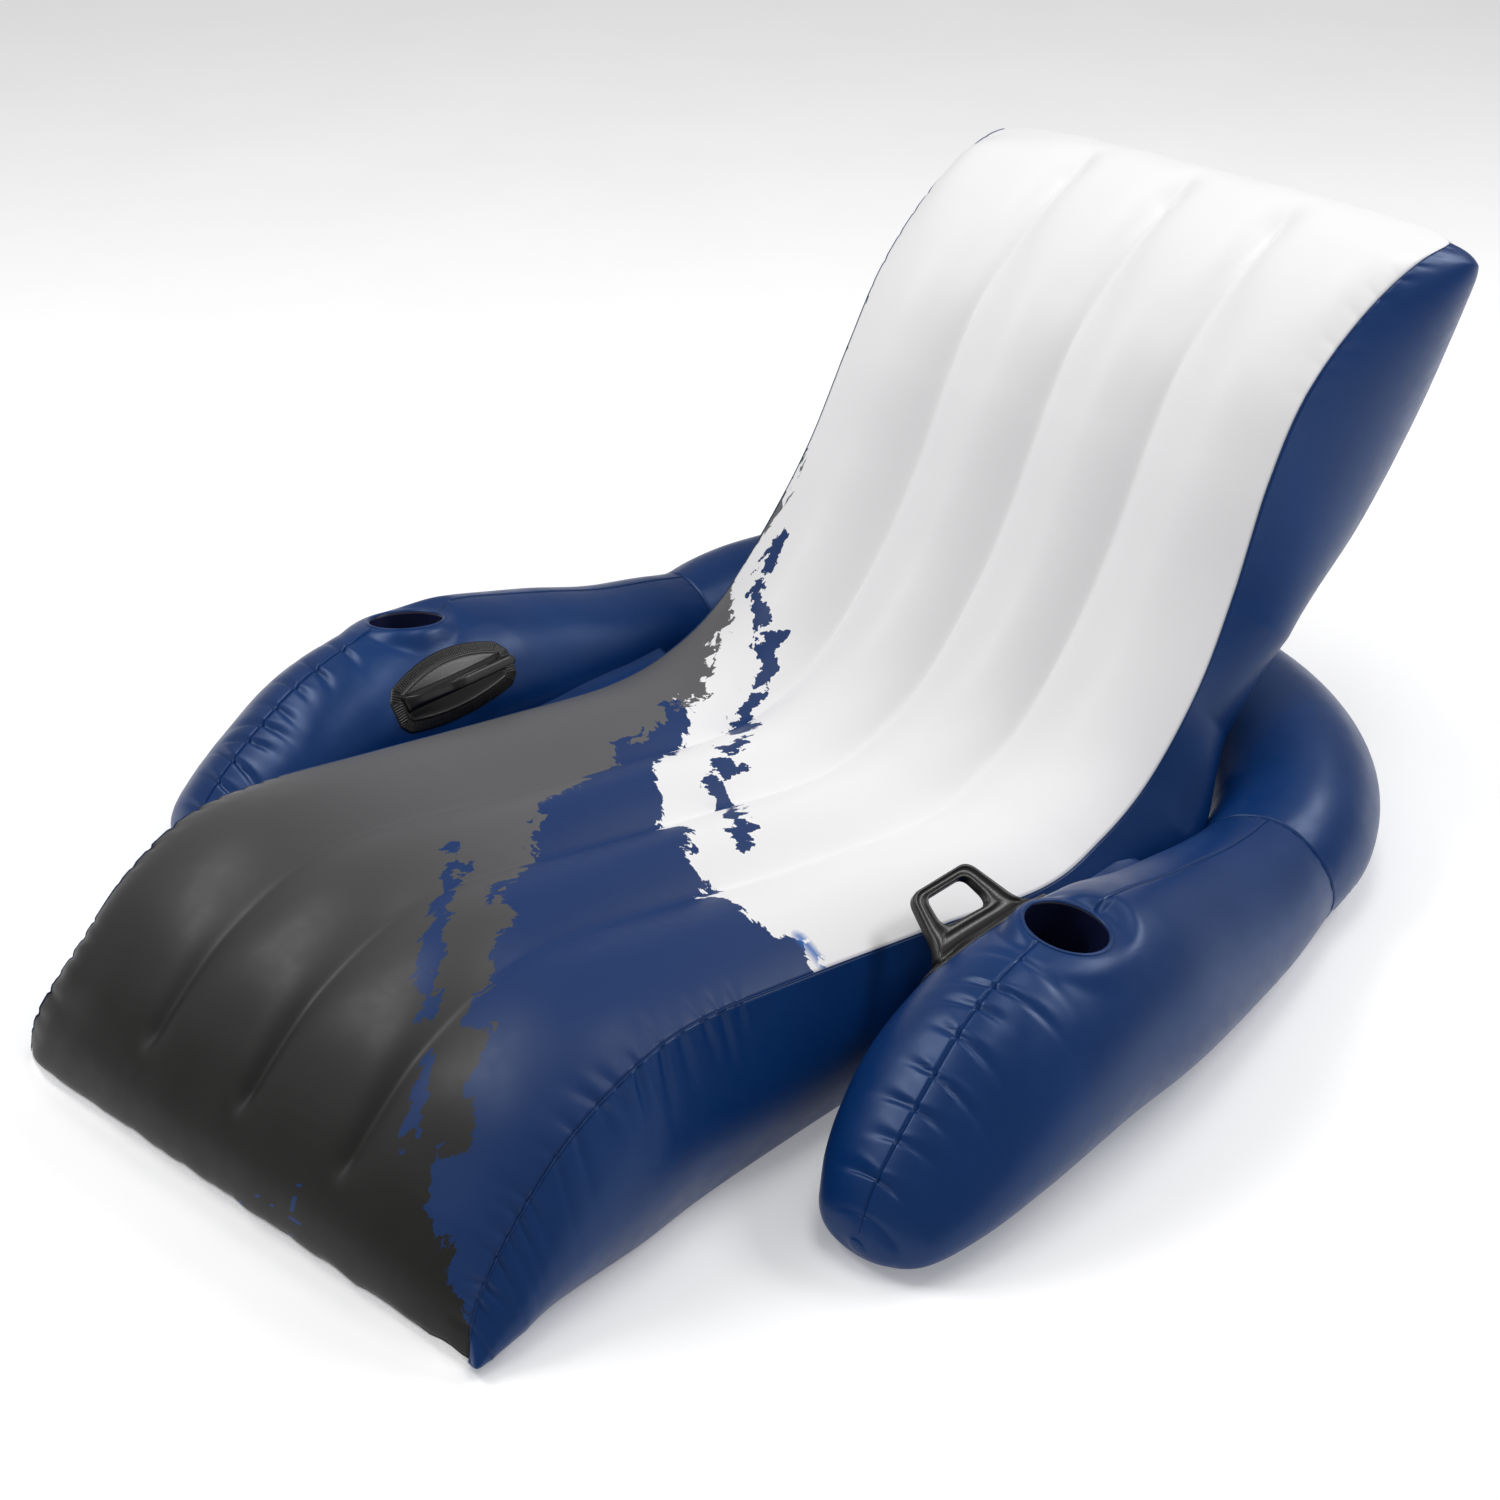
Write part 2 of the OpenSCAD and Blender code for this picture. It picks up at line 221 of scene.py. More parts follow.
def tube(name, path, radius, material, sides=8):
    """A closed bead along a path of points."""
    path = np.array(path, float)
    tangent = unit(np.gradient(path, axis=0))
    side = unit(np.cross(tangent, np.array([0.13, 0.29, 0.95])))
    up = np.cross(side, tangent)
    turn = np.linspace(0, 2 * math.pi, sides, endpoint=False)
    r = radius * np.ones(len(path))
    r[0] = r[-1] = radius * 0.3
    ring = side[:, None] * np.cos(turn)[None, :, None] + up[:, None] * np.sin(turn)[None, :, None]
    obj = grid_object(name, path[:, None] + ring * r[:, None, None], turn / 6 * radius,
                      arc_length(path)[:, None], material, wrap=True)
    with editing(obj.data) as bm:
        bmesh.ops.holes_fill(bm, edges=[e for e in bm.edges if e.is_boundary], sides=sides)
        bmesh.ops.recalc_face_normals(bm, faces=bm.faces)
    return obj


def join(obj, *others):
    """Adds the other objects' meshes and materials to obj."""
    for other in others:
        slots = [obj.data.materials.find(m.name) for m in other.data.materials]
        for i, m in enumerate(other.data.materials):
            if slots[i] < 0:
                obj.data.materials.append(m)
                slots[i] = len(obj.data.materials) - 1
        with editing(obj.data) as bm:
            before = len(bm.faces)
            bm.from_mesh(other.data)
            bm.faces.ensure_lookup_table()
            for f in bm.faces[before:]:
                f.material_index = slots[min(f.material_index, len(slots) - 1)]
        bpy.data.objects.remove(other)
    return obj


def place(obj, slot, *nodes, fill=None):
    """Puts a finished piece on the fixed body, in place of CAD nodes."""
    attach(obj, "root")
    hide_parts(*nodes)
    return obj


# ---------------------------------------------------------------- material helpers
def srgb(r, g, b):
    def linear(c):
        c /= 255
        return c / 12.92 if c <= 0.04045 else ((c + 0.055) / 1.055) ** 2.4
    return (linear(r), linear(g), linear(b), 1)


class Nodes:
    """A short way to write a material's node tree."""

    def __init__(self, name):
        self.material = bpy.data.materials.new(name)
        self.material.use_nodes = True
        self.tree = self.material.node_tree
        self.shader = self.tree.nodes["Principled BSDF"]

    def link(self, source, target):
        if isinstance(source, bpy.types.NodeSocket):
            self.tree.links.new(source, target)
        else:
            target.default_value = source

    def add(self, kind, inputs=(), **settings):
        node = self.tree.nodes.new(kind)
        for key, value in settings.items():
            setattr(node, key, value)
        for key, value in dict(inputs).items():
            self.link(value, node.inputs[key])
        return node

    def math(self, op, a, b=0.0, c=0.0):
        return self.add("ShaderNodeMath", {0: a, 1: b, 2: c}, operation=op).outputs[0]

    def mix(self, share, a, b):
        node = self.add("ShaderNodeMix", data_type="RGBA")
        self.link(share, node.inputs["Factor"])
        self.link(a, node.inputs["A"])
        self.link(b, node.inputs["B"])
        return node.outputs["Result"]

    def panel(self, sx=1.0, sy=1.0):
        uv = self.add("ShaderNodeUVMap", uv_map="panel").outputs[0]
        return self.add("ShaderNodeMapping", {"Vector": uv, "Scale": (sx, sy, 1)}).outputs[0]

    def noise(self, vector, scale, detail=2.0, roughness=0.5, colour=False):
        node = self.add("ShaderNodeTexNoise", {"Vector": vector, "Scale": scale, "Detail": detail,
                                               "Roughness": roughness})
        return node.outputs["Color" if colour else "Fac"]

    def ramp(self, value, low, high, to_low=0.0, to_high=1.0, soft=False):
        node = self.add("ShaderNodeMapRange", {"Value": value, "From Min": low, "From Max": high,
                                               "To Min": to_low, "To Max": to_high})
        node.interpolation_type = "SMOOTHSTEP" if soft else "LINEAR"
        return node.outputs[0]

    def attribute(self, name):
        return self.add("ShaderNodeAttribute", attribute_name=name).outputs["Fac"]

    def weave(self, vector, pitch):
        """Height of the fine cross-hatched grain pressed into the vinyl."""
        across = self.add("ShaderNodeTexWave", {"Vector": vector, "Scale": 0.314 / pitch, "Distortion": 1.2,
                                                "Detail": 1.0, "Detail Scale": 2.0}, bands_direction="X")
        along = self.add("ShaderNodeTexWave", {"Vector": vector, "Scale": 0.314 / pitch, "Distortion": 1.2,
                                               "Detail": 1.0, "Detail Scale": 2.0}, bands_direction="Y")
        both = self.math("ADD", across.outputs["Fac"], along.outputs["Fac"])
        patchy = self.noise(vector, 60.0, 3.0)
        return self.math("MULTIPLY", both, patchy)

    def bump(self, height, strength, distance, normal=None):
        node = self.add("ShaderNodeBump", {"Height": height, "Strength": strength, "Distance": distance})
        if normal is not None:
            self.link(normal, node.inputs["Normal"])
        return node.outputs[0]


PLAIN_TINT = (1, 1, 1, 1)


def vinyl(name, dark, light, gloss=0.38, coat=0.05, specular=0.16, tint=PLAIN_TINT):
    """Soft PVC sheet: slow colour change, a fine hatched grain and a soft gloss."""
    n = Nodes(name)
    uv = n.panel()
    drift = n.noise(uv, 5.0, 4.0)
    n.link(n.mix(n.ramp(drift, 0.3, 0.7), dark, light), n.shader.inputs["Base Color"])
    scuff = n.noise(uv, 38.0, 5.0, 0.6)
    n.link(n.ramp(scuff, 0.25, 0.75, gloss - 0.04, gloss + 0.07), n.shader.inputs["Roughness"])
    grain = n.bump(n.weave(uv, 0.0016), 0.16, 0.0003)
    n.link(n.bump(n.noise(uv, 22.0, 3.0), 0.10, 0.002, grain), n.shader.inputs["Normal"])
    n.shader.inputs["Specular IOR Level"].default_value = specular
    n.shader.inputs["Specular Tint"].default_value = tint
    n.shader.inputs["Coat Weight"].default_value = coat
    n.shader.inputs["Coat Roughness"].default_value = 0.22
    return n.material


NAVY = srgb(3, 42, 92)
NAVY_LIGHT = srgb(5, 49, 104)
PRINT_BLUE = srgb(10, 48, 100)
SKY = srgb(24, 98, 176)
# Print grey at the toe, darkened further with painted shade on the toe's front, which gets little light from
# above
GREY_SHADED_TOE = srgb(28, 27, 26)
GREY_LIGHT = srgb(92, 92, 94)
WHITE = srgb(238, 237, 238)


def torn(n, uv, distance, amount):
    """A distance with ragged, splashed edges worked into it."""
    warp = n.add("ShaderNodeVectorMath", {0: n.noise(uv, 24.0, 3.0, 0.6, colour=True), 1: (0.05, 0.03, 0)},
                 operation="MULTIPLY").outputs[0]
    moved = n.add("ShaderNodeVectorMath", {0: uv, 1: warp}, operation="ADD").outputs[0]
    chips = n.add("ShaderNodeTexVoronoi", {"Vector": moved, "Scale": 52.0, "Randomness": 1.0})
    flake = n.math("SUBTRACT", chips.outputs["Color"], 0.5)
    coarse = n.math("SUBTRACT", n.noise(moved, 17.0, 6.0, 0.66), 0.5)
    coarse = n.math("MULTIPLY", coarse, 4.4 * amount)
    rough = n.math("ADD", coarse, n.math("MULTIPLY", flake, 0.95 * amount))
    return n.math("ADD", distance, rough)


def printed_vinyl():
    """White sheet with a grey field, a blue field and splashed edges between them."""
    n = Nodes("printed_vinyl")
    uv = n.panel()
    grey_edge = torn(n, n.panel(1.0, 0.55), n.attribute("grey_edge"), 0.030)
    white_edge = torn(n, n.panel(0.8, 1.1), n.attribute("white_edge"), 0.022)
    in_blue = n.ramp(grey_edge, 0.0, 0.0006)
    in_white = n.ramp(white_edge, 0.0, 0.0006)
    # The grey fades from dark at the toe to lighter towards the knee: partly a real print gradient, partly
    # painted light (painted shade on the toe, lighter where the top faces the lights)
    grey_fade_and_toe_shade = n.ramp(n.attribute("along"), 0.08, 0.65, soft=True)
    grey = n.mix(grey_fade_and_toe_shade, GREY_SHADED_TOE, GREY_LIGHT)
    colour = n.mix(in_white, PRINT_BLUE, WHITE)
    colour = n.mix(in_blue, grey, colour)
    # Detached blue flakes: a band of them in the white field and a sparser one in the grey field
    bands = [("white_flakes", 0.042, 0.575, 0.62), ("grey_flakes", 0.034, 0.60, 0.42)]
    for name, reach, cut, stretch in bands:
        spot = n.noise(n.panel(1.0, stretch), 34.0, 4.0, 0.62)
        inside = n.ramp(n.attribute(name), 0.0, 2.5 * reach, 0.17, -0.68)
        mask = n.ramp(n.math("ADD", spot, inside), cut, cut + 0.006)
        colour = n.mix(mask, colour, PRINT_BLUE)
    sky = n.ramp(n.attribute("sky_patch"), 0.0, 0.012, 1.0, 0.0)
    sky = n.math("MULTIPLY", sky, n.ramp(n.noise(uv, 60.0, 4.0), 0.40, 0.43))
    colour = n.mix(sky, colour, SKY)
    n.link(colour, n.shader.inputs["Base Color"])
    scuff = n.noise(uv, 38.0, 5.0, 0.6)
    n.link(n.ramp(scuff, 0.25, 0.75, 0.42, 0.52), n.shader.inputs["Roughness"])
    grain = n.bump(n.weave(uv, 0.0016), 0.12, 0.0003)
    n.link(n.bump(n.noise(uv, 18.0, 3.0), 0.08, 0.002, grain), n.shader.inputs["Normal"])
    n.shader.inputs["Specular IOR Level"].default_value = 0.28
    n.shader.inputs["Coat Weight"].default_value = 0.03
    n.shader.inputs["Coat Roughness"].default_value = 0.25
    return n.material


def moulded(name, colour, shine, speckle):
    """Moulded plastic with a fine spark-eroded texture."""
    n = Nodes(name)
    where = n.add("ShaderNodeTexCoord").outputs["Object"]
    tone = n.noise(where, 40.0, 4.0)
    worn = tuple(min(1.0, c * speckle) for c in colour[:3]) + (1,)
    n.link(n.mix(n.ramp(tone, 0.35, 0.75), colour, worn), n.shader.inputs["Base Color"])
    fine = n.noise(where, 700.0, 2.0)
    n.link(n.ramp(fine, 0.3, 0.7, shine - 0.05, shine + 0.08), n.shader.inputs["Roughness"])
    n.link(n.bump(n.noise(where, 1400.0, 2.0), 0.25, 0.0002), n.shader.inputs["Normal"])
    return n.material


def clear_vinyl():
    """Milky sheet of the inner bands."""
    n = Nodes("clear_vinyl")
    where = n.add("ShaderNodeTexCoord").outputs["Object"]
    haze = n.noise(where, 12.0, 3.0)
    n.link(n.mix(haze, srgb(205, 208, 212), srgb(228, 230, 233)), n.shader.inputs["Base Color"])
    n.link(n.ramp(haze, 0.3, 0.7, 0.25, 0.4), n.shader.inputs["Roughness"])
    return n.material


MATERIAL = {
    "navy": vinyl("navy_vinyl", NAVY, NAVY_LIGHT, 0.34, 0.0, 0.45, (0.55, 0.70, 1.0, 1)),
    "white": vinyl("white_vinyl", srgb(230, 230, 232), srgb(239, 239, 240), 0.38),
    "print": printed_vinyl(),
    "black": vinyl("black_vinyl", srgb(16, 20, 46), srgb(24, 29, 60), 0.22, 0.5, 0.5),
    "clear": clear_vinyl(),
    "handle": moulded("moulded_handle", srgb(13, 11, 10), 0.34, 1.35),
    "valve": moulded("valve_plastic", srgb(214, 216, 220), 0.36, 1.08),
}


# ---------------------------------------------------------------- recliner
class Recliner:
    """The stations of the recliner, and the seams that its panels share."""

    def __init__(self, step=0.0040):
        u = even_rows(PROFILE, [1, 2], step)
        rows = spline(PROFILE, u) * MM
        self.u = u
        self.width = rows[:, 0]
        self.top = np.stack([rows[:, 1] + TOE_Y, rows[:, 2]], 1)
        self.low = np.stack([rows[:, 3] + TOE_Y, np.maximum(rows[:, 4], 0)], 1)
        self.along = arc_length(self.top)
        self.length = self.along[-1]
        # The first few centimetres of the underside turn up to the toe's seam
        self.turn = np.clip(self.along / TOE_TURN, 0, 1)
        rolled = self.top[0, 0] - 0.0003 + TOE_TURN * self.turn**1.5 - 0.005 * np.sin(math.pi * self.turn)
        self.low[:, 0] = np.where(self.turn < 1, rolled, self.low[:, 0])
        self.low[:, 1] += self.top[0, 1] * (1 - self.turn) ** 2
        # The back sheet comes up to the top sheet's edge at the headrest
        to_seam = self.top[-1] - self.low[-1] + [0.0003, 0]
        self.low += to_seam * np.exp(-(self.length - self.along) / 0.012)[:, None]
        tangent = unit(np.gradient(self.top, axis=0))
        self.top_normal = np.stack([-tangent[:, 1], tangent[:, 0]], 1)
        tangent = unit(np.gradient(self.low, axis=0))
        self.low_normal = np.stack([tangent[:, 1], -tangent[:, 0]], 1)
        self.low_normal[u < FLAT_ROWS] = [0, -1]
        self.folds = {
            -1: [Folds(11, 0.02, 0.20, 0.026, 0.0030, 0.0060, (0.030, 0.045)),
                 Folds(13, 0.22, 0.50, 0.030, 0.0024, 0.0060, (0.026, 0.045)),
                 Folds(12, 1.75, 2.10, 0.045, 0.0012, 0.0080, (0.025, 0.035))],
            1: [Folds(21, 0.02, 0.18, 0.024, 0.0036, 0.0058, (0.036, 0.055)),
                Folds(22, 0.21, 0.52, 0.029, 0.0036, 0.0060, (0.034, 0.058)),
                Folds(23, 1.78, 2.13, 0.042, 0.0012, 0.0080, (0.025, 0.035))]}

    def fold_depth(self, side, s, d):
        return sum(f.depth(s, d) for f in self.folds[side]) * smooth(0.0, 0.035, s)

    def seam_direction(self, side):
        """Outward direction half way between the top panel's and the gusset's."""
        out = np.zeros((len(self.u), 3))
        out[:, 0] = side
        out[:, 1:] = self.top_normal
        return unit(out)


def lobe_columns(per_lobe):
    """Shares across one lobe from -1 to 1, closer together at the welds."""
    q = np.linspace(-1, 1, per_lobe + 1)
    return 0.55 * q + 0.45 * np.sin(q * math.pi / 2)


def across_columns(shape, per_lobe=26):
    """X of each column at each station, the lobe share there, and the distance to the nearest weld."""
    share = lobe_columns(per_lobe)
    xs, ts = [], []
    for k in range(4):
        low = [-shape.width, -WEB_X, 0 * shape.width, WEB_X][k] * np.ones(len(shape.u))
        high = [-WEB_X, 0 * shape.width, WEB_X, shape.width][k] * np.ones(len(shape.u))
        part = share if k == 3 else share[:-1]
        xs.append(low[:, None] + (high - low)[:, None] * (part[None] + 1) / 2)
        ts.append(np.broadcast_to(part, (len(shape.u), len(part))))
    return np.concatenate(xs, 1), np.concatenate(ts, 1)


def lobe_profile(x, share, soft=0.0035, power=2.0):
    """Round lobes between the welds, meeting in a softened crease at each weld.

    A higher power makes flatter lobes with narrower creases."""
    half = WEB_X / 2
    gap = 1 - np.abs(share)
    rho = np.where(np.abs(x) > WEB_X + half, 0.0, soft / half)
    eased = np.sqrt(gap**2 + rho**2) - rho
    return 1 - (1 - np.minimum(eased, 1)) ** power


def top_height(shape, x, share):
    s = shape.along[:, None]
    end = shape.length - s
    w = shape.width[:, None]
    weld = smooth(0.070, 0.115, s) * smooth(0.062, 0.150, end)
    weld = weld * (0.28 + 0.22 * smooth(0.12, 0.35, s) + 0.42 * smooth(0.35, 0.80, s))
    edge = np.sqrt(np.clip(1 - (1 - np.clip(s / 0.16, 0, 1)) ** 2, 0, 1))
    edge = edge * np.sqrt(np.clip(1 - (1 - np.clip(end / 0.17, 0, 1)) ** 2, 0, 1))
    ratio = np.abs(x) / w
    broad = 1 - ratio**4
    lobes = lobe_profile(x, share, power=2 + 5 * smooth(0.30, 0.10, s) + 3 * smooth(0.34, 0.12, end))
    life = 1 + 0.05 * wave_noise(s, x, 5, 0.5)
    slack = 0.0008 * wave_noise(s, x, 6, 0.12)
    return LOBE_H * edge * life * (lobes * weld + broad * (1 - weld)) + slack * lobes


def round_corners_in(points, shape, x):
    """Rounds the recliner's four corners in plan, for the top, underside and gussets alike."""
    near = np.clip((np.abs(x) - shape.width[:, None] + 0.055) / 0.055, 0, 1) ** 2.2
    s = shape.along[:, None]
    points[..., 1] += np.where(x < 0, 0.022, 0.004) * near * np.exp(-s / 0.035)
    end = shape.length - s
    points[..., 1] -= 0.030 * near * np.exp(-end / 0.040)
    points[..., 0] *= 1 - 0.045 * np.exp(-end / 0.030)
    return points


def panel_points(x, line, normal, height):
    out = np.zeros(x.shape + (3,))
    out[..., 0] = x
    out[..., 1] = line[:, 0][:, None] + normal[:, 0][:, None] * height
    out[..., 2] = line[:, 1][:, None] + normal[:, 1][:, None] * height
    return out


def add_seam_folds(points, shape, x, side, normal):
    """Draws the panel in at the folds along one side seam."""
    d = np.abs(side * shape.width[:, None] - x)
    depth = shape.fold_depth(side, shape.along[:, None], -d)
    share = np.exp(-d / 0.014)[..., None]
    way = unit(shape.seam_direction(side)[:, None] * share + normal[:, None] * (1 - share))
    return points - way * depth[..., None]


def toe_scallop(x):
    """How far the toe seam wanders up and down."""
    return 0.0026 * wave_noise(x, 0 * x, 31, 0.075) + 0.0014 * wave_noise(x, 0 * x, 32, 0.03)


def boundary_distance(points, x, s):
    """Signed distance from each panel point to an open line of (along, across) points."""
    best = np.full(x.shape, 9.0)
    sign = np.ones(x.shape)
    for (s0, x0), (s1, x1) in zip(points, points[1:]):
        ds, dx = s1 - s0, x1 - x0
        t = np.clip(((s - s0) * ds + (x - x0) * dx) / (ds * ds + dx * dx), 0, 1)
        d = np.hypot(s - s0 - t * ds, x - x0 - t * dx)
        near = d < best
        best = np.where(near, d, best)
        sign = np.where(near, np.sign((x - x0) * ds - (s - s0) * dx), sign)
    return best * sign


# Print edges on the flat panel, as (distance from the toe, X)
GREY_LINE = [(-0.05, 0.45), (0.03, 0.382), (0.11, 0.292), (0.15, 0.245), (0.18, 0.289), (0.22, 0.286),
             (0.23, 0.245), (0.28, 0.238), (0.29, 0.186), (0.35, 0.160), (0.38, 0.115), (0.42, 0.107),
             (0.43, 0.062), (0.54, 0.011), (0.59, -0.062), (0.70, -0.099), (0.86, -0.184),
             (0.93, -0.200), (1.01, -0.235), (1.09, -0.235), (1.15, -0.271), (1.23, -0.309),
             (1.28, -0.345), (1.34, -0.359), (1.43, -0.349), (1.60, -0.350), (2.30, -0.42)]
WHITE_LINE = [(0.645, 0.45), (0.640, 0.365), (0.650, 0.328), (0.620, 0.310), (0.620, 0.270), (0.670, 0.161),
              (0.690, 0.128), (0.770, -0.004), (0.850, -0.085), (0.980, -0.175), (1.040, -0.200),
              (1.045, -0.225), (1.000, -0.300), (0.80, -0.45)]
FLAKE_LINE = [(0.78, 0.114), (0.90, -0.022), (0.95, -0.059), (1.11, -0.172), (1.19, -0.21), (1.24, -0.235),
              (1.31, -0.308), (1.38, -0.314)]
GREY_FLAKE_LINE = [(0.17, 0.225), (0.23, 0.189), (0.30, 0.119), (0.39, 0.026), (0.48, -0.051)]
SKY_LINE = [(0.652, 0.372), (0.652, 0.322)]


def add_print(obj, x, s):
    fields = {
        "grey_edge": boundary_distance(GREY_LINE, x, s),
        "white_edge": boundary_distance(WHITE_LINE, x, s),
        "white_flakes": np.abs(boundary_distance(FLAKE_LINE, x, s)),
        "grey_flakes": np.abs(boundary_distance(GREY_FLAKE_LINE, x, s)),
        "sky_patch": np.abs(boundary_distance(SKY_LINE, x, s)),
        "along": s + 0 * x,
    }
    for name, values in fields.items():
        layer = obj.data.attributes.new(name, "FLOAT", "POINT")
        layer.data.foreach_set("value", values.astype(np.float32).ravel())


def make_top_panel(shape):
    """The printed sheet, with its lobes and the folds along its side seams."""
    x, share = across_columns(shape)
    height = top_height(shape, x, share)
    points = panel_points(x, shape.top, shape.top_normal, height)
    normal = np.concatenate([np.zeros((len(shape.u), 1)), shape.top_normal], 1)
    for side in (-1, 1):
        points = add_seam_folds(points, shape, x, side, normal)
    toe = np.exp(-shape.along[:, None] / 0.02)
    points[..., 2] += toe_scallop(x) * toe
    points = round_corners_in(points, shape, x)
    obj = grid_object("seat_top_skin", points, x, shape.along[:, None], MATERIAL["print"])
    add_print(obj, x, shape.along[:, None] + 0 * x)
    thicken(obj)
    return place(obj, "printed_vinyl", "seat_top_panel", fill=0.95)


def gusset_swell(shape, side, gap):
    """How far a side wall stands out at each station, and the share of it that rounds its toe."""
    pinch = 1 - 0.8 * np.maximum(0, 1 - np.abs(shape.low[:, 0] - 0.420) / 0.120)
    swell = 0.038 * np.minimum(1, gap / 0.100) ** 0.6 * pinch
    # It fills the space beside the tube, just ahead of the pinch
    swell = swell + 0.023 * np.exp(-(((shape.low[:, 0] - 0.320) / 0.085) ** 2))
    # Both ends are rounded; at the toe the right one bulges forward and the left one lies flatter
    end = np.clip((shape.length - shape.along) / 0.13, 0, 1)
    swell = swell * np.sqrt(1 - (1 - end) ** 2)
    if side < 0:
        return swell * smooth(-0.01, 0.15, shape.along), 0 * swell
    start = np.clip(shape.along / 0.045, 0, 1)
    dome = np.sqrt(1 - (1 - start) ** 2) * np.exp(-((shape.along / 0.09) ** 2))
    return np.maximum(swell, 0.028 * dome), dome


def gusset_points(shape, side, columns=30):
    """A side wall that bulges out between the top seam and the lower seam."""
    t = np.linspace(0, 1, columns + 1)
    t = t - 0.06 * np.sin(2 * math.pi * t)
    gap = np.linalg.norm(shape.top - shape.low, axis=1)
    swell, dome = gusset_swell(shape, side, gap)
    bulge = np.maximum(0, np.sin(math.pi * t**1.3)) ** 0.8
    life = 1 + 0.03 * wave_noise(shape.along[:, None], t[None] * 0.3, 40 + side, 0.5)
    points = np.zeros((len(shape.u), len(t), 3))
    points[..., 0] = side * (shape.width[:, None] + swell[:, None] * bulge[None] * life)
    for k in (0, 1):
        points[..., k + 1] = shape.top[:, k][:, None] * (1 - t) + shape.low[:, k][:, None] * t
    forward = dome * np.exp(-((shape.along / 0.04) ** 2))
    points[..., 1] -= 0.010 * bulge[None] * forward[:, None]
    d = t[None] * gap[:, None]
    depth = shape.fold_depth(side, shape.along[:, None], d)
    share = np.exp(-d / 0.014)[..., None]
    out = np.array([side, 0.0, 0.0])
    way = unit(shape.seam_direction(side)[:, None] * share + out * (1 - share))
    points = points - way * depth[..., None]
    edge = side * shape.width[:, None] + 0 * d
    toe = toe_scallop(side * shape.width[:1]) * np.exp(-shape.along / 0.02)
    points[..., 2] += toe[:, None] * ((1 - t)[None] + t[None] * ((1 - shape.turn) ** 2)[:, None])
    return round_corners_in(points, shape, edge), d


def make_gusset(shape, side, word):
    points, d = gusset_points(shape, side)
    obj = grid_object(word + "_seat_gusset_skin", points, shape.along[:, None], d, MATERIAL["navy"],
                      flip=side < 0)
    thicken(obj)
    seam = points[:, 0] + shape.seam_direction(side) * 0.0002
    bead = tube(word + "_seam", seam[4:-4], 0.0008, MATERIAL["navy"])
    join(obj, bead)
    return place(obj, "navy_vinyl", word + "_seat_gusset", fill=0.95)


def make_bottom_panel(shape):
    """The underside and back. It turns up a little at the toe to meet the top panel."""
    x, share = across_columns(shape, 14)
    lobes = lobe_profile(x, share, 0.006)
    s = shape.along[:, None]
    end = shape.length - s
    on_floor = (shape.u < FLAT_ROWS)[:, None]
    rise = BACK_LOBE * LOBE_H * smooth(9.6, 12.0, shape.u)[:, None] * smooth(0.0, 0.16, end)
    inner = np.abs(x) < WEB_X + 0.08
    groove = 0.007 * (1 - lobes) * inner * smooth(0.10, 0.2, s) * smooth(9.6, 8.6, shape.u)[:, None]
    height = np.where(on_floor, -groove, rise * lobes)
    points = panel_points(x, shape.low, shape.low_normal, height)
    points[..., 2] += toe_scallop(x) * ((1 - shape.turn) ** 2)[:, None]
    points = round_corners_in(points, shape, x)
    obj = grid_object("seat_bottom_skin", points, x, s, MATERIAL["white"], flip=True)
    thicken(obj)
    cut_round(obj, SEAT_VALVE, SEAT_VALVE_AXIS, VALVE_R)
    return place(obj, "white_vinyl", "seat_bottom_panel", fill=0.95)


def cut_round(obj, where, axis, radius):
    """Cuts a round opening through a panel."""
    bpy.ops.mesh.primitive_cylinder_add(vertices=96, radius=radius, depth=0.08, location=where)
    cutter = bpy.context.object
    cutter.rotation_euler = Vector(axis).to_track_quat("Z", "Y").to_euler()
    cut = obj.modifiers.new("opening", "BOOLEAN")
    cut.object = cutter
    cut.solver = "EXACT"
    settle(obj)
    bpy.data.objects.remove(cutter)


PASSAGES = [4.5, 7.0, 9.5, 12.0, 14.0]
PASSAGE_R = 0.022


def web_outlines(shape):
    """Outline of a cross band in the middle plane, and those of its air passages."""
    keep = (shape.u > 1.5) & (shape.u < 15.5)
    inset = 0.002
    upper = (shape.top - shape.top_normal * inset)[keep][::4]
    raised = np.where(shape.u < FLAT_ROWS, 0.010, inset)[:, None]
    lower = (shape.low - shape.low_normal * raised)[keep][::4]
    turn = np.linspace(0, 2 * math.pi, 32, endpoint=False)
    loops = [np.concatenate([upper, lower[::-1]])]
    for row in PASSAGES:
        i = int(np.argmin(np.abs(shape.u - row)))
        middle = (shape.top[i] + shape.low[i]) / 2
        loops.append(middle + PASSAGE_R * np.stack([np.cos(turn), np.sin(turn)], 1))
    return loops


def make_web(shape, x, word):
    """A cross band inside the recliner, with round holes that let the air pass."""
    curve = bpy.data.curves.new(word, "CURVE")
    curve.dimensions = "2D"
    curve.fill_mode = "BOTH"
    curve.extrude = 0.0005
    for loop in web_outlines(shape):
        line = curve.splines.new("POLY")
        line.points.add(len(loop) - 1)
        for point, (a, b) in zip(line.points, loop):
            point.co = (a, b, 0, 1)
        line.use_cyclic_u = True
    flat = new_object(word, curve)
    mesh = bpy.data.meshes.new_from_object(flat)
    bpy.data.objects.remove(flat)
    with editing(mesh) as bm:
        for v in bm.verts:
            v.co = Vector((x + v.co.z, v.co.x, v.co.y))
        bmesh.ops.remove_doubles(bm, verts=bm.verts, dist=1e-5)
        bmesh.ops.recalc_face_normals(bm, faces=bm.faces)
    mesh.materials.clear()
    mesh.materials.append(MATERIAL["clear"])
    return place(new_object(word + "_skin", mesh), "clear_vinyl", word)


# ---------------------------------------------------------------- armrest tube
JOINT_OUTWARD = np.array([0.978, 0.209])


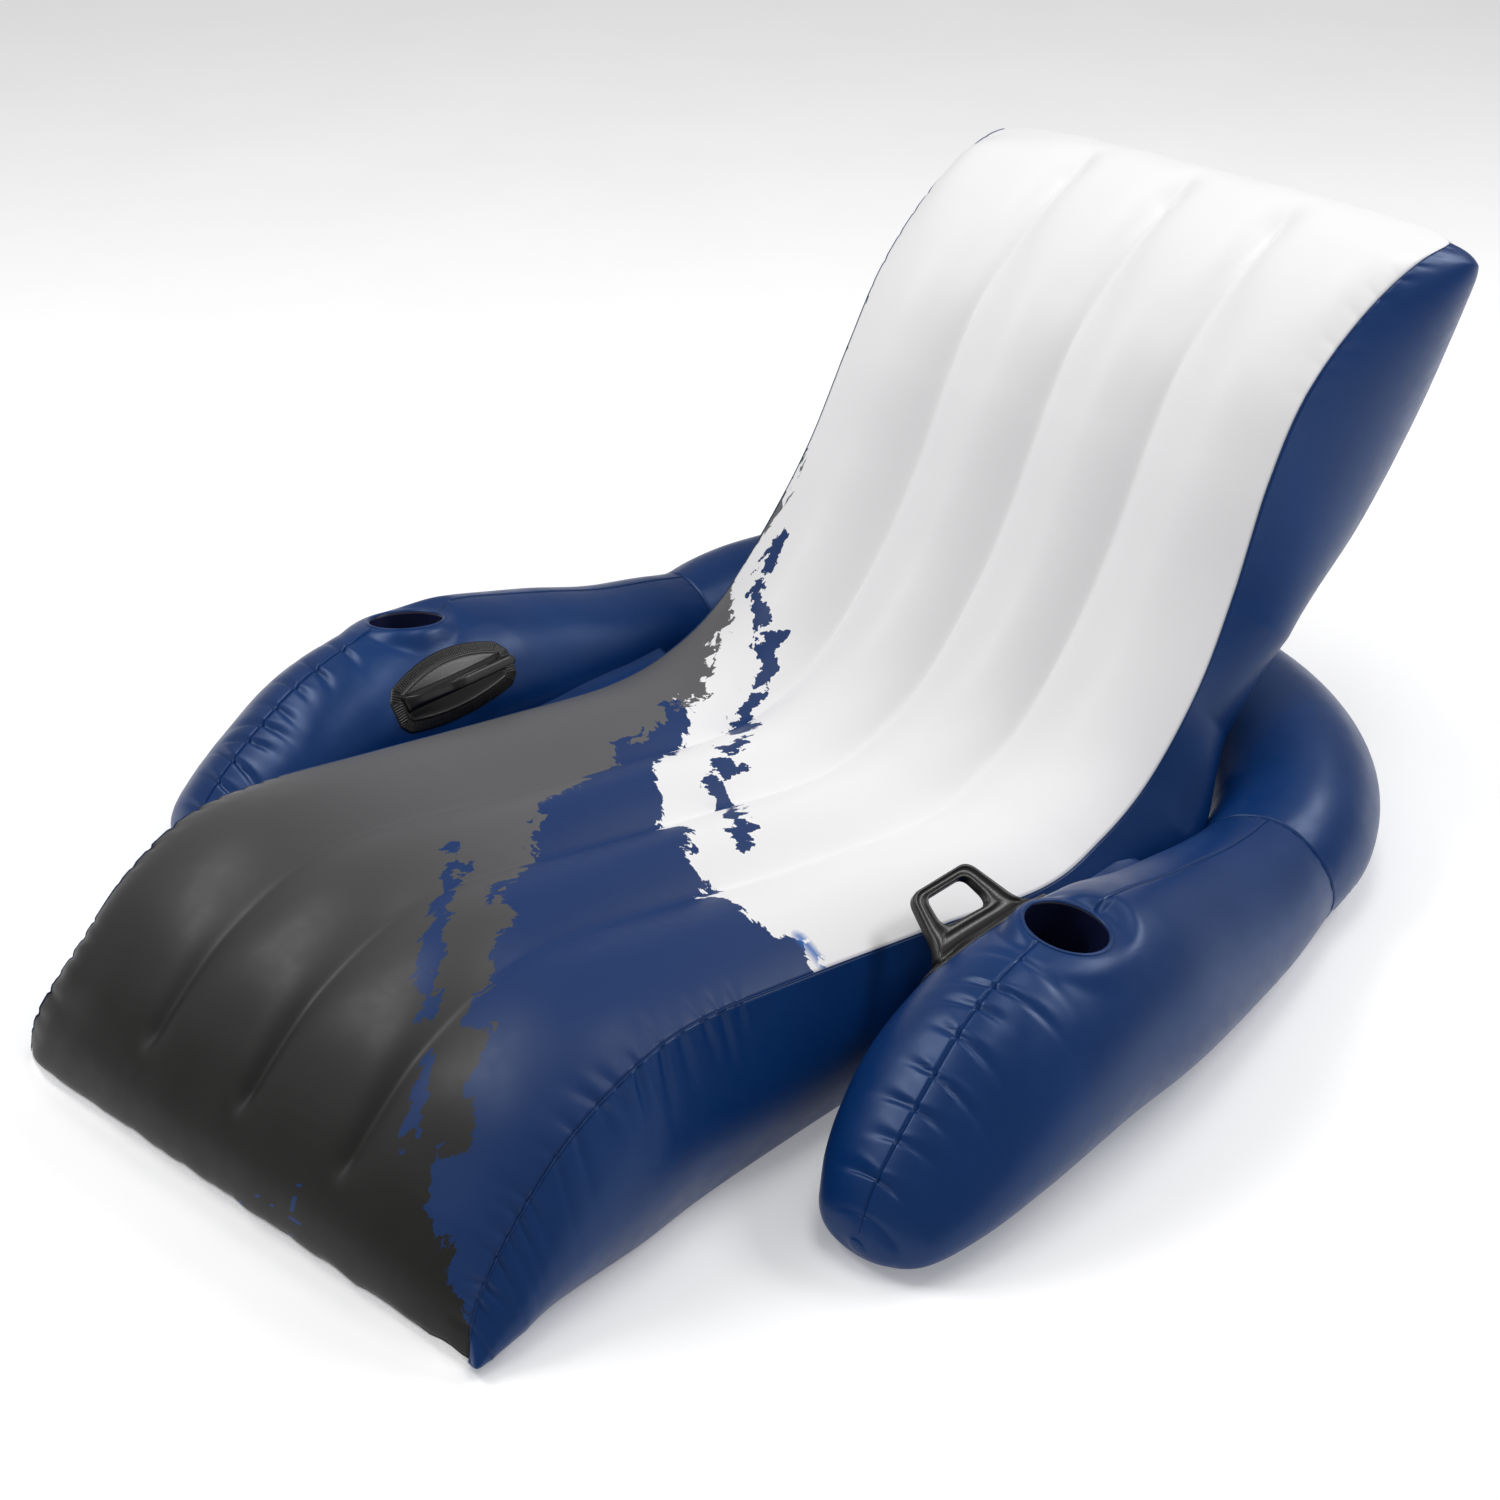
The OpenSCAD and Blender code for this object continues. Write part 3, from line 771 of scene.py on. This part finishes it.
class Tube:
    """One length of the armrest tube, with its stations and their outward directions."""

    def __init__(self, rows, step, mirror_back=False):
        self.rows = rows
        if mirror_back:
            self.rows = rows + [[-r[0]] + r[1:] for r in rows[-2::-1]]
        self.u = even_rows(self.rows, [0, 1, 2, 3], step)
        r = spline(self.rows, self.u) * MM
        self.centre = np.stack([r[:, 0], r[:, 1] + TOE_Y], 1)
        self.half = r[:, 2]
        self.height = r[:, 3]
        self.lift = np.maximum(r[:, 4], 0)
        tangent = unit(np.gradient(self.centre, axis=0))
        self.outward = np.stack([tangent[:, 1], -tangent[:, 0]], 1)
        self.along = arc_length(self.centre)
        # Both lengths meet in one plane at the ring seam
        for turn, gap in [(1, np.linalg.norm(self.centre - self.joint(1), axis=1)),
                          (-1, np.linalg.norm(self.centre - self.joint(-1), axis=1))]:
            share = smooth(0.040, 0.0, gap)[:, None]
            self.outward = unit(self.outward * (1 - share) + JOINT_OUTWARD * np.array([turn, 1]) * share)

    @staticmethod
    def joint(side):
        return np.array([side * ARM[-1][0] * MM, ARM[-1][1] * MM + TOE_Y])

    def points(self, angles, grow=0.0):
        """Surface points at the given angles round each section; 90 degrees is the crest."""
        cos, sin = np.cos(angles), np.sin(angles)
        reach = cos - np.where(cos > 0, SLUMP * np.sin(2 * angles), 0)
        r = (self.half[:, None] + grow) * reach
        h = self.height[:, None] / 2
        out = np.zeros((len(self.u), len(angles), 3))
        out[..., :2] = self.centre[:, None] + self.outward[:, None] * r[..., None]
        out[..., 2] = self.lift[:, None] + h + (h + grow) * sin
        return out

    def directions(self, angles):
        """Outward directions of the section at the given angles."""
        out = np.zeros((len(self.u), len(angles), 3))
        out[..., :2] = self.outward[:, None] * np.cos(angles)[None, :, None]
        out[..., 2] = np.sin(angles)
        return out


def crowd(a0, a1, count, pull):
    """Angles from a0 to a1 in degrees, crowded towards the end where the crest is."""
    q = np.linspace(0, 1, count + 1)
    return np.radians(a0 + (a1 - a0) * (q + pull * np.sin(math.pi * q) * q * (1 - q) * 2))


def close_nose(points, others):
    """Adds a small dome of rings in front of the first section, and repeats the other rows to match."""
    middle = points[0].mean(0)
    middle[0] = math.copysign(ARM[0][0] * MM, middle[0])
    middle[2] = (ARM[0][4] + ARM[0][3] / 2) * MM
    rings = []
    for k in (0.0, 0.25, 0.5, 0.72, 0.88):
        ring = middle + (points[0] - middle) * k
        ring[:, 1] -= 0.0022 * math.sqrt(1 - k * k)
        rings.append(ring)
    grown = np.concatenate([np.array(rings), points])
    return grown, [np.concatenate([np.repeat(o[:1], len(rings), 0), o]) for o in others]


def merge_close(obj, distance=1e-6):
    with editing(obj.data) as bm:
        bmesh.ops.remove_doubles(bm, verts=bm.verts, dist=distance)


def around_cup(points):
    """Flattens the arm round the cup holder to the plane of its rim."""
    away = points - CUP
    height = away @ CUP_AXIS
    d = np.linalg.norm(away - height[..., None] * CUP_AXIS, axis=-1)
    above = points[..., 2] > 0.15
    # Wider on the outer side than on the inner one, where the handle's base is near
    reach = CUP_R + np.where(away[..., 0] < 0, 0.024, 0.044)
    share = smooth(reach, CUP_R + 0.006 + 0 * reach, d) * above
    dish = 0.0016 * np.exp(-(((d - CUP_R - 0.020) / 0.010) ** 2)) * above
    return points - (share * height + dish)[..., None] * CUP_AXIS


ARM_FOLDS = {-1: 61, 1: 60}


def arm_surface(arm, angles, side):
    """An arm panel's points, drawn in at the folds on its crest and flat round the cup holder."""
    points = arm.points(angles)
    way = arm.directions(angles)
    perimeter = (arm.half[:, None] + arm.height[:, None] / 2) / 2
    d = (math.pi / 2 - angles)[None] * perimeter
    crest = np.concatenate([[0.0], np.cumsum(np.hypot(np.diff(arm.along), np.diff(arm.height)))])
    cup_front = np.interp(CUP[1] - CUP_R - 0.015, arm.centre[:, 1], crest)
    folds = Folds(ARM_FOLDS[side], 0.03, cup_front - 0.015, 0.038, 0.0060, 0.0046,
                  (0.050, 0.072), 0.22)
    depth = folds.depth(crest[:, None], d)
    ring = arm.along[-1] - arm.along[:, None]
    ring_folds = Folds(70 + side, -0.30, 0.30, 0.030, 0.0007, 0.006, (0.02, 0.02))
    depth = depth + ring_folds.depth(d, -ring) * 0.8
    life = 0.0016 * wave_noise(arm.along[:, None], d, 81 + side, 0.20) * smooth(0, 0.1, arm.along[:, None])
    life = life * smooth(0.0, 0.05, ring) * smooth(0.0, 0.03, points[..., 2])
    # The sheet lies still under the handle's base
    p = np.abs(arm.centre[:, 1] - HANDLE_Y)[:, None] / BASE_L
    q = np.abs(angles - HANDLE_ANGLE)[None] * HANDLE_RADIUS / BASE_W
    calm = smooth(1.05, 1.40, np.maximum(p, q))
    depth, life = depth * calm, life * calm
    return around_cup(points - way * (depth - life)[..., None]), d


def mirrored(points, side):
    out = points.copy()
    out[..., 0] *= side
    return out


def make_arm(arm, side, word):
    """Inner and outer panels of one arm, with the crest seam between them."""
    turn = np.array([side, 1, 1])
    for name, angles in [("outer", crowd(-90, 90, 60, 0.6)), ("inner", crowd(270, 90, 60, 0.6))]:
        points, d = arm_surface(arm, angles, side)
        points[..., 2] = np.maximum(points[..., 2], 0.0003)
        points, (along, d) = close_nose(mirrored(points, side), [arm.along[:, None], d])
        obj = grid_object(f"{word}_arm_{name}_skin", points, along, d, MATERIAL["navy"],
                          flip=(name == "outer") == (side > 0))
        merge_close(obj)
        thicken(obj)
        cut_round(obj, CUP * turn, CUP_AXIS * turn, CUP_R + 0.0006)
        if name == "outer":
            join(obj, crest_bead(points[:, -1], side, word))
        place(obj, "navy_vinyl", f"{word}_arm_{name}_panel", fill=0.95)


def crest_bead(crest, side, word):
    """The thin weld line along the crest, which stops at the cup holder."""
    gap = np.hypot(crest[:, 0] - side * CUP[0], crest[:, 1] - CUP[1])
    front = crest[(gap > CUP_R + 0.007) & (crest[:, 1] < CUP[1])][10:]
    back = crest[(gap > CUP_R + 0.030) & (crest[:, 1] > CUP[1])]
    return join(*[tube(f"{word}_crest_{i}", part, 0.0006, MATERIAL["navy"])
                  for i, part in enumerate([front, back])])


# Angles of the rear tube's two long seams, in degrees round its section
REAR_LOW, REAR_INNER = -38, 215


def rear_surface(rear, angles, fold_sets):
    """Rear tube points, drawn in at the folds along its seams and smooth round its valve."""
    points = rear.points(angles)
    way = rear.directions(angles)
    perimeter = (rear.half[:, None] + rear.height[:, None] / 2) / 2
    depth = 0.0
    for folds, seam in fold_sets:
        depth = depth + folds.depth(rear.along[:, None], (angles - math.radians(seam))[None] * perimeter)
    edge = np.minimum(rear.along, rear.along[-1] - rear.along)[:, None]
    ring_folds = Folds(75, -0.30, 0.60, 0.028, 0.0007, 0.006, (0.02, 0.02))
    depth = depth + ring_folds.depth(angles[None] * perimeter, edge) * 0.8
    calm = smooth(0.030, 0.070, np.linalg.norm(points - TUBE_VALVE, axis=-1))
    life = 0.0016 * wave_noise(rear.along[:, None], angles[None] * 0.1, 90, 0.22) * smooth(0, 0.05, edge)
    return points - way * ((depth - life) * calm)[..., None], angles[None] * perimeter


def rear_beads(points):
    """Weld beads on both ring seams and both long seams of the upper panel."""
    beads = [tube(f"ring_{i}", points[k], 0.0008, MATERIAL["navy"]) for i, k in enumerate([0, -1])]
    return beads + [tube(f"seam_{i}", points[:, k], 0.0010, MATERIAL["navy"]) for i, k in enumerate([0, -1])]


def make_rear(rear):
    """The two panels of the rear tube."""
    stop = rear.along[-1] - 0.02
    at_low = Folds(91, 0.02, stop, 0.030, 0.0030, 0.007, (0.030, 0.030))
    at_inner = Folds(92, 0.02, stop, 0.032, 0.0030, 0.007, (0.030, 0.030))
    folds = [(at_low, REAR_LOW), (at_inner, REAR_INNER), (at_low, REAR_LOW + 360)]
    panels = [("upper", REAR_LOW, REAR_INNER, 64), ("lower", REAR_INNER, REAR_LOW + 360, 28)]
    for name, low, high, count in panels:
        angles = np.radians(np.linspace(low, high, count + 1))
        points, d = rear_surface(rear, angles, folds)
        points[..., 2] = np.maximum(points[..., 2], 0.0003)
        obj = grid_object(f"rear_tube_{name}_skin", points, rear.along[:, None], d, MATERIAL["navy"],
                          flip=True)
        thicken(obj)
        if name == "upper":
            cut_round(obj, TUBE_VALVE, (0, 1, 0), VALVE_R)
            join(obj, *rear_beads(points))
        place(obj, "navy_vinyl", f"rear_tube_{name}_panel", fill=0.95)


# ---------------------------------------------------------------- cup holders
def in_cup(points, side):
    """Turns points given round the cup holder's axis, with Z up from its rim, into the float's frame."""
    across = unit(np.cross([0.0, 1.0, 0.0], CUP_AXIS))
    along = np.cross(CUP_AXIS, across)
    return mirrored(CUP + points @ np.array([across, along, CUP_AXIS]), side)


# Rim of a cup holder's sleeve, as (distance outside its bore, height above its rim)
LIP = [(0.0062, -0.0010), (0.0058, 0.0008), (0.0040, 0.0016), (0.0020, 0.0010), (0.0010, -0.0002)]


def make_cup_sleeve(side, word, turn):
    """The soft wall of a cup holder, with its welded rim."""
    depth = np.linspace(0, 1, 40)[:, None]
    radius = CUP_R - 0.0034 * np.sin(math.pi * depth) ** 1.3
    radius = radius + 0.0016 * np.sin(3 * turn + 4 * depth + side) * np.sin(math.pi * depth)
    radius = radius + 0.0007 * np.sin(7 * turn - 5 * depth) * np.sin(math.pi * depth)
    lip = np.array(LIP)
    r = np.concatenate([CUP_R + lip[:, :1] + 0 * turn, radius])
    z = np.concatenate([lip[:, 1:] + 0 * turn, -0.002 - (CUP_DEPTH - 0.002) * depth + 0 * turn])
    points = in_cup(np.stack([r * np.cos(turn), r * np.sin(turn), z], -1), side)
    obj = grid_object(word + "_cup_sleeve_skin", points, turn * CUP_R, -z, MATERIAL["black"],
                      flip=side < 0, wrap=True)
    obj.data.materials.append(MATERIAL["navy"])
    for f in obj.data.polygons:
        f.material_index = 1 if f.index // turn.size < 4 else 0
    thicken(obj)
    place(obj, "black_vinyl", word + "_cup_sleeve")


def make_cup_floor(side, word, turn):
    """The disc that closes a cup holder, with a weld groove near its edge."""
    share = np.array([1.0, 0.94, 0.88, 0.80, 0.72, 0.5, 0.3, 0.12, 0.02])[:, None]
    height = np.array([0.0, 0.0016, 0.0016, 0.0003, 0.0006, 0.0016, 0.0024, 0.0028, 0.0028])[:, None]
    r = (CUP_R - 0.0004) * share
    points = np.stack([r * np.cos(turn), r * np.sin(turn), height - CUP_DEPTH + 0 * turn], -1)
    floor = grid_object(word + "_cup_floor_skin", in_cup(points, side), turn * CUP_R, r, MATERIAL["black"],
                        flip=side < 0, wrap=True)
    close_middle(floor, turn.size, side < 0)
    thicken(floor)
    place(floor, "black_vinyl", word + "_cup_floor")


def make_cup(side, word):
    turn = np.linspace(0, 2 * math.pi, 96, endpoint=False)[None]
    make_cup_sleeve(side, word, turn)
    make_cup_floor(side, word, turn)


def close_middle(obj, sides, flip):
    """Fills the small hole that is left in the middle of a round grid."""
    with editing(obj.data) as bm:
        bm.verts.ensure_lookup_table()
        ring = [bm.verts[i] for i in range(len(bm.verts) - sides, len(bm.verts))]
        bm.faces.new(ring[::-1] if flip else ring)


# ---------------------------------------------------------------- grab handles
RIB_PITCH = 0.0034
RIB_BAND = 0.015


def base_outline(count):
    """Barrel-shaped outline of the base: bowed long sides, short ends, round corners."""
    end = 0.60 * BASE_W
    corners = []
    for k in np.linspace(-1, 1, 25):
        corners.append((k * (BASE_L - 0.012), BASE_W - (BASE_W - end - 0.004) * k**2))
    top = np.array(corners)
    right = np.array([(BASE_L, end * 0.62), (BASE_L + 0.0005, 0.0), (BASE_L, -end * 0.62)])
    loop = np.concatenate([top, right, -top, -right])
    loop = np.concatenate([loop, loop[:1]])
    length = arc_length(loop)
    at = np.linspace(0, length[-1], count + 1)[:-1]
    pts = np.stack([np.interp(at, length, loop[:, k]) for k in (0, 1)], 1)
    for _ in range(count // 60):
        pts = (np.roll(pts, 1, 0) + 2 * pts + np.roll(pts, -1, 0)) / 4
    return pts


class ArmPatch:
    """Lays flat (p, q) points on the inner side of an arm, where a handle is welded."""

    def __init__(self, arm):
        self.arm = arm
        row = np.interp(HANDLE_ROW, np.arange(len(ARM)), [r[1] * MM + TOE_Y for r in ARM])
        self.centre_y = row
        rows = spline(ARM, np.array([HANDLE_ROW]))[0] * MM
        self.radius = (rows[2] + rows[3] / 2) / 2

    def lay(self, p, q, height):
        y = self.centre_y + p
        u = np.interp(y, self.arm.centre[:, 1], self.arm.u)
        rows = spline(ARM, u.ravel()).reshape((*u.shape, 5)) * MM
        angle = HANDLE_ANGLE + q / self.radius
        out = np.zeros(p.shape + (3,))
        out[..., 0] = rows[..., 0] + (rows[..., 2] + height) * np.cos(angle)
        out[..., 1] = y
        out[..., 2] = rows[..., 3] / 2 + (rows[..., 3] / 2 + height) * np.sin(angle)
        return out


def base_height(edge, along, p, q):
    """Height of the base above the arm: ribbed border, raised outline, smooth middle."""
    rim = 0.0016 * smooth(-0.0004, 0.0022, edge)
    ribs = 0.0007 * np.sin(along * 2 * math.pi / RIB_PITCH)
    ribs = ribs * smooth(0.0012, 0.003, edge) * smooth(RIB_BAND, RIB_BAND - 0.002, edge)
    outline = 0.0011 * np.exp(-(((edge - RIB_BAND - 0.002) / 0.0011) ** 2))
    foot = 0.0035 * np.exp(-((q / 0.013) ** 2)) * smooth(0.088, 0.074, np.abs(p))
    return 0.0008 + rim + ribs + outline + foot * smooth(RIB_BAND, 0.03, edge)


# How far inside the base's outline each ring of its surface lies
INSETS = np.array([-0.0002, 0.0008, 0.0016, 0.0026, 0.0045, 0.0075, 0.0105, 0.0128, 0.0142, 0.0154, 0.0166,
                   0.0178, 0.0192, 0.022, 0.026, 0.032, 0.040, 0.0465])


def base_rings(line):
    """Rings from the base's outline in to its spine: even insets near the edge, then drawn together."""
    inset = INSETS[:, None, None]
    way = -unit(line * np.array([0.25, 1.0]) / np.array([BASE_L, BASE_W])[None])
    normal = np.roll(line, -1, 0) - np.roll(line, 1, 0)
    normal = unit(np.stack([normal[:, 1], -normal[:, 0]], 1))
    normal = normal * np.sign(np.sum(normal * way, 1))[:, None]
    spine = np.clip(line[:, 0], -0.062, 0.062)
    near = line[None] + normal[None] * inset
    goal = np.stack([spine, 0 * spine], 1)[None]
    share = smooth(0.018, 0.0465, inset)
    return near * (1 - share) + (line[None] + (goal - line[None]) * np.minimum(1, inset / 0.0468)) * share


def make_base(patch, word):
    """The ribbed base plate of a handle, laid on the arm."""
    count = 720
    line = base_outline(count)
    along = np.arange(count) / count * arc_length(np.concatenate([line, line[:1]]))[-1]
    flat = base_rings(line)
    edge = INSETS[:, None] + 0 * along[None]
    height = base_height(edge, along[None], flat[..., 0], flat[..., 1])
    height[0] = 0.0
    points = patch.lay(flat[..., 0], flat[..., 1], height)
    under = patch.lay(flat[::-1, :, 0], flat[::-1, :, 1], -0.0003 + 0 * height)
    shell = np.concatenate([points, under[5:]])
    obj = grid_object(word + "_base", shell, along[None] + 0 * shell[..., 0], 0 * shell[..., 0],
                      MATERIAL["handle"], wrap=True)
    with editing(obj.data) as bm:
        bm.verts.ensure_lookup_table()
        last = (len(shell) - 1) * count
        for j in range(count):
            k = (j + 1) % count
            bm.faces.new([bm.verts[i] for i in (last + j, j, k, last + k)])
        bmesh.ops.remove_doubles(bm, verts=bm.verts, dist=2e-5)
        bmesh.ops.recalc_face_normals(bm, faces=bm.faces)
    return obj


def round_corners(corners, radii, per_corner=10):
    """A closed outline with its corners rounded by smooth arcs."""
    out = []
    count = len(corners)
    for i in range(count):
        a, b, c = (np.array(corners[(i + k) % count], float) for k in (-1, 0, 1))
        r = radii[i]
        start, stop = b + unit(a - b) * r, b + unit(c - b) * r
        for t in np.linspace(0, 1, per_corner):
            out.append((1 - t) ** 2 * start + 2 * t * (1 - t) * b + t * t * stop)
    return np.array(out)


def resample_ring(points, count, middle):
    """Points of a closed outline at even steps of its length, starting below the middle."""
    ring = np.concatenate([points, points[:1]])
    length = arc_length(ring)
    at = np.linspace(0, length[-1], 1201)[:-1]
    dense = np.stack([np.interp(at, length, ring[:, k]) for k in (0, 1)], 1)
    turn = np.unwrap(np.arctan2(dense[:, 1] - middle[1], dense[:, 0] - middle[0]))
    if turn[-1] < turn[0]:
        dense, turn = dense[::-1], turn[::-1]
    want = np.linspace(0, 2 * math.pi, count, endpoint=False) - math.pi / 2
    order = np.argsort(turn % (2 * math.pi))
    angles = (turn % (2 * math.pi))[order]
    return np.stack([np.interp(want % (2 * math.pi), angles, dense[order, k], period=2 * math.pi)
                     for k in (0, 1)], 1)


LOOP_T = 0.012
LOOP_OUTER = [(-0.090, -0.004), (0.090, -0.004), (0.073, 0.010), (0.050, 0.078), (-0.050, 0.078),
              (-0.073, 0.010)]
LOOP_HOLE = [(-0.044, 0.026), (0.040, 0.022), (0.034, 0.065), (-0.035, 0.065)]
# Section of the loop from its hole to its outside, as (share of the way, share of half its thickness)
LOOP_SECTION = [(0.03, 0.0), (0.02, 0.45), (0.0, 0.65), (0.02, 0.86), (0.08, 1.0), (0.20, 0.98),
                (0.27, 0.80), (0.33, 0.58), (0.5, 0.54), (0.68, 0.58), (0.74, 0.80), (0.80, 0.98),
                (0.93, 1.0), (0.98, 0.86), (1.0, 0.6), (1.0, 0.3), (1.0, 0.0)]


def make_loop(patch, word):
    """The upright loop: a thin web with a thicker rounded rim outside and round the hole."""
    count = 192
    middle = np.array([0.0, 0.044])
    rounded = round_corners(LOOP_OUTER, [0.002, 0.002, 0.014, 0.015, 0.015, 0.014])
    outer = resample_ring(rounded, count, middle)
    hole = resample_ring(round_corners(LOOP_HOLE, [0.017, 0.020, 0.012, 0.010]), count, middle)
    ring = LOOP_SECTION + [(v, -t) for v, t in LOOP_SECTION[-2:0:-1]]
    v = np.array([a for a, _ in ring])
    thick = np.array([b for _, b in ring]) * LOOP_T / 2
    flat = hole[None] + (outer - hole)[None] * v[:, None, None]
    flare = 1 + 1.1 * np.exp(-np.maximum(flat[..., 1], 0) / 0.006)
    n = Vector((math.cos(HANDLE_ANGLE), 0, math.sin(HANDLE_ANGLE)))
    lean = np.array(n)
    across = np.array((n.z, 0, -n.x))
    origin = patch.lay(np.array([0.0]), np.array([0.0]), np.array([0.003]))[0]
    bend = patch.lay(flat[..., 0], 0 * flat[..., 0], 0.003 + 0 * flat[..., 0])
    settle_down = (bend - origin) @ lean * np.exp(-np.maximum(flat[..., 1], 0) / 0.02)
    points = origin + flat[..., 0][..., None] * np.array([0, 1, 0])
    points = points + (flat[..., 1] + settle_down)[..., None] * lean
    points = points + (thick[:, None] * flare)[..., None] * across
    obj = grid_object(word + "_loop", np.concatenate([points, points[:1]]), np.arange(count)[None] * 0.002,
                      0 * points[0, 0, 0], MATERIAL["handle"], wrap=True)
    with editing(obj.data) as bm:
        bmesh.ops.remove_doubles(bm, verts=bm.verts, dist=1e-6)
        bmesh.ops.recalc_face_normals(bm, faces=bm.faces)
    return obj


def make_handle(patch, side, word):
    obj = join(make_base(patch, word), make_loop(patch, word))
    obj.name = word + "_grab_handle_moulding"
    if side < 0:
        with editing(obj.data) as bm:
            for v in bm.verts:
                v.co.x = -v.co.x
            bmesh.ops.reverse_faces(bm, faces=bm.faces)
    for f in obj.data.polygons:
        f.use_smooth = True
    place(obj, "moulded_handle", word + "_grab_handle")


def make_strip(node, along_x):
    """A welded strip between tube and recliner, sagging a little and wrinkled across."""
    low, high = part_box(node)
    a = np.linspace(low.x, high.x, 60 if along_x else 20)[:, None]
    b = np.linspace(low.y, high.y, 20 if along_x else 60)[None]
    across = (b - low.y) / (high.y - low.y) if along_x else (a - low.x) / (high.x - low.x)
    sag = 0.006 * np.sin(math.pi * across)
    ripple = 0.0011 * wave_noise(a, b, 7, 0.05) * np.sin(math.pi * across)
    z = high.z - sag + ripple
    points = np.stack([a + 0 * b, b + 0 * a, z + 0 * a + 0 * b], -1)
    obj = grid_object(node + "_skin", points, a, b, MATERIAL["navy"], flip=True)
    thicken(obj)
    place(obj, "navy_vinyl", node)


# ---------------------------------------------------------------- carried-over CAD nodes
def dress_valves():
    for name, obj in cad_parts.items():
        if "_valve_" in name:
            obj.data.materials.clear()
            obj.data.materials.append(MATERIAL["valve"])


# ---------------------------------------------------------------- camera, light and floor
def make_camera():
    data = bpy.data.cameras.new("camera")
    data.sensor_width = 36
    data.lens = 67.68
    camera = new_object("camera", data)
    camera.location = (2.060, -2.308, 1.938)
    camera.rotation_euler = (math.radians(60.507), 0, math.radians(42.789))
    bpy.context.scene.camera = camera


def make_light(name, where, target, size, power, tint=(1, 1, 1)):
    data = bpy.data.lights.new(name, "AREA")
    data.shape = "RECTANGLE"
    data.size, data.size_y = size
    data.energy = power
    data.color = tint
    lamp = new_object(name, data)
    lamp.location = where
    lamp.rotation_euler = (Vector(target) - Vector(where)).to_track_quat("-Z", "Y").to_euler()


def make_studio():
    bpy.context.scene.view_settings.view_transform = "Standard"
    world = bpy.data.worlds.new("studio")
    bpy.context.scene.world = world
    world.use_nodes = True
    background = world.node_tree.nodes["Background"]
    background.inputs["Color"].default_value = (1, 1, 1, 1)
    background.inputs["Strength"].default_value = 0.36
    make_light("key_softbox", (-2.2, -1.6, 3.4), (0, 0, 0.2), (2.0, 1.4), 68)
    make_light("top_softbox", (0.4, 0.4, 3.8), (0, 0, 0.2), (2.2, 1.2), 32)
    make_light("back_softbox", (1.7, 2.6, 3.0), (0.2, 0, 0.2), (1.8, 0.8), 55)
    make_floor()


def make_floor():
    bpy.ops.mesh.primitive_plane_add(size=30, location=(0, 0, 0))
    floor = bpy.context.object
    floor.name = "floor"
    n = Nodes("pale_floor")
    where = n.add("ShaderNodeTexCoord").outputs["Object"]
    tone = n.mix(n.noise(where, 3.0, 3.0), srgb(243, 243, 244), srgb(250, 250, 250))
    n.link(tone, n.shader.inputs["Base Color"])
    n.shader.inputs["Roughness"].default_value = 0.7
    n.shader.inputs["Specular IOR Level"].default_value = 0.1
    n.shader.inputs["Emission Color"].default_value = (1, 1, 1, 1)
    n.shader.inputs["Emission Strength"].default_value = 0.22
    floor.data.materials.append(n.material)


# ---------------------------------------------------------------- the float
make_camera()
make_studio()

recliner = Recliner()
make_top_panel(recliner)
make_bottom_panel(recliner)
for side, word in [(-1, "left"), (1, "right")]:
    make_gusset(recliner, side, word)
for x, word in [(-WEB_X, "left"), (0.0, "centre"), (WEB_X, "right")]:
    make_web(recliner, x, word + "_seat_web")

arm = Tube(ARM, 0.0034)
for side, word in [(-1, "left"), (1, "right")]:
    make_arm(arm, side, word)
    make_cup(side, word)
    make_handle(ArmPatch(arm), side, word)
make_rear(Tube(REAR, 0.0058, mirror_back=True))
for node in ("left_joining_strip", "right_joining_strip"):
    make_strip(node, along_x=False)
make_strip("rear_joining_strip", along_x=True)
dress_valves()
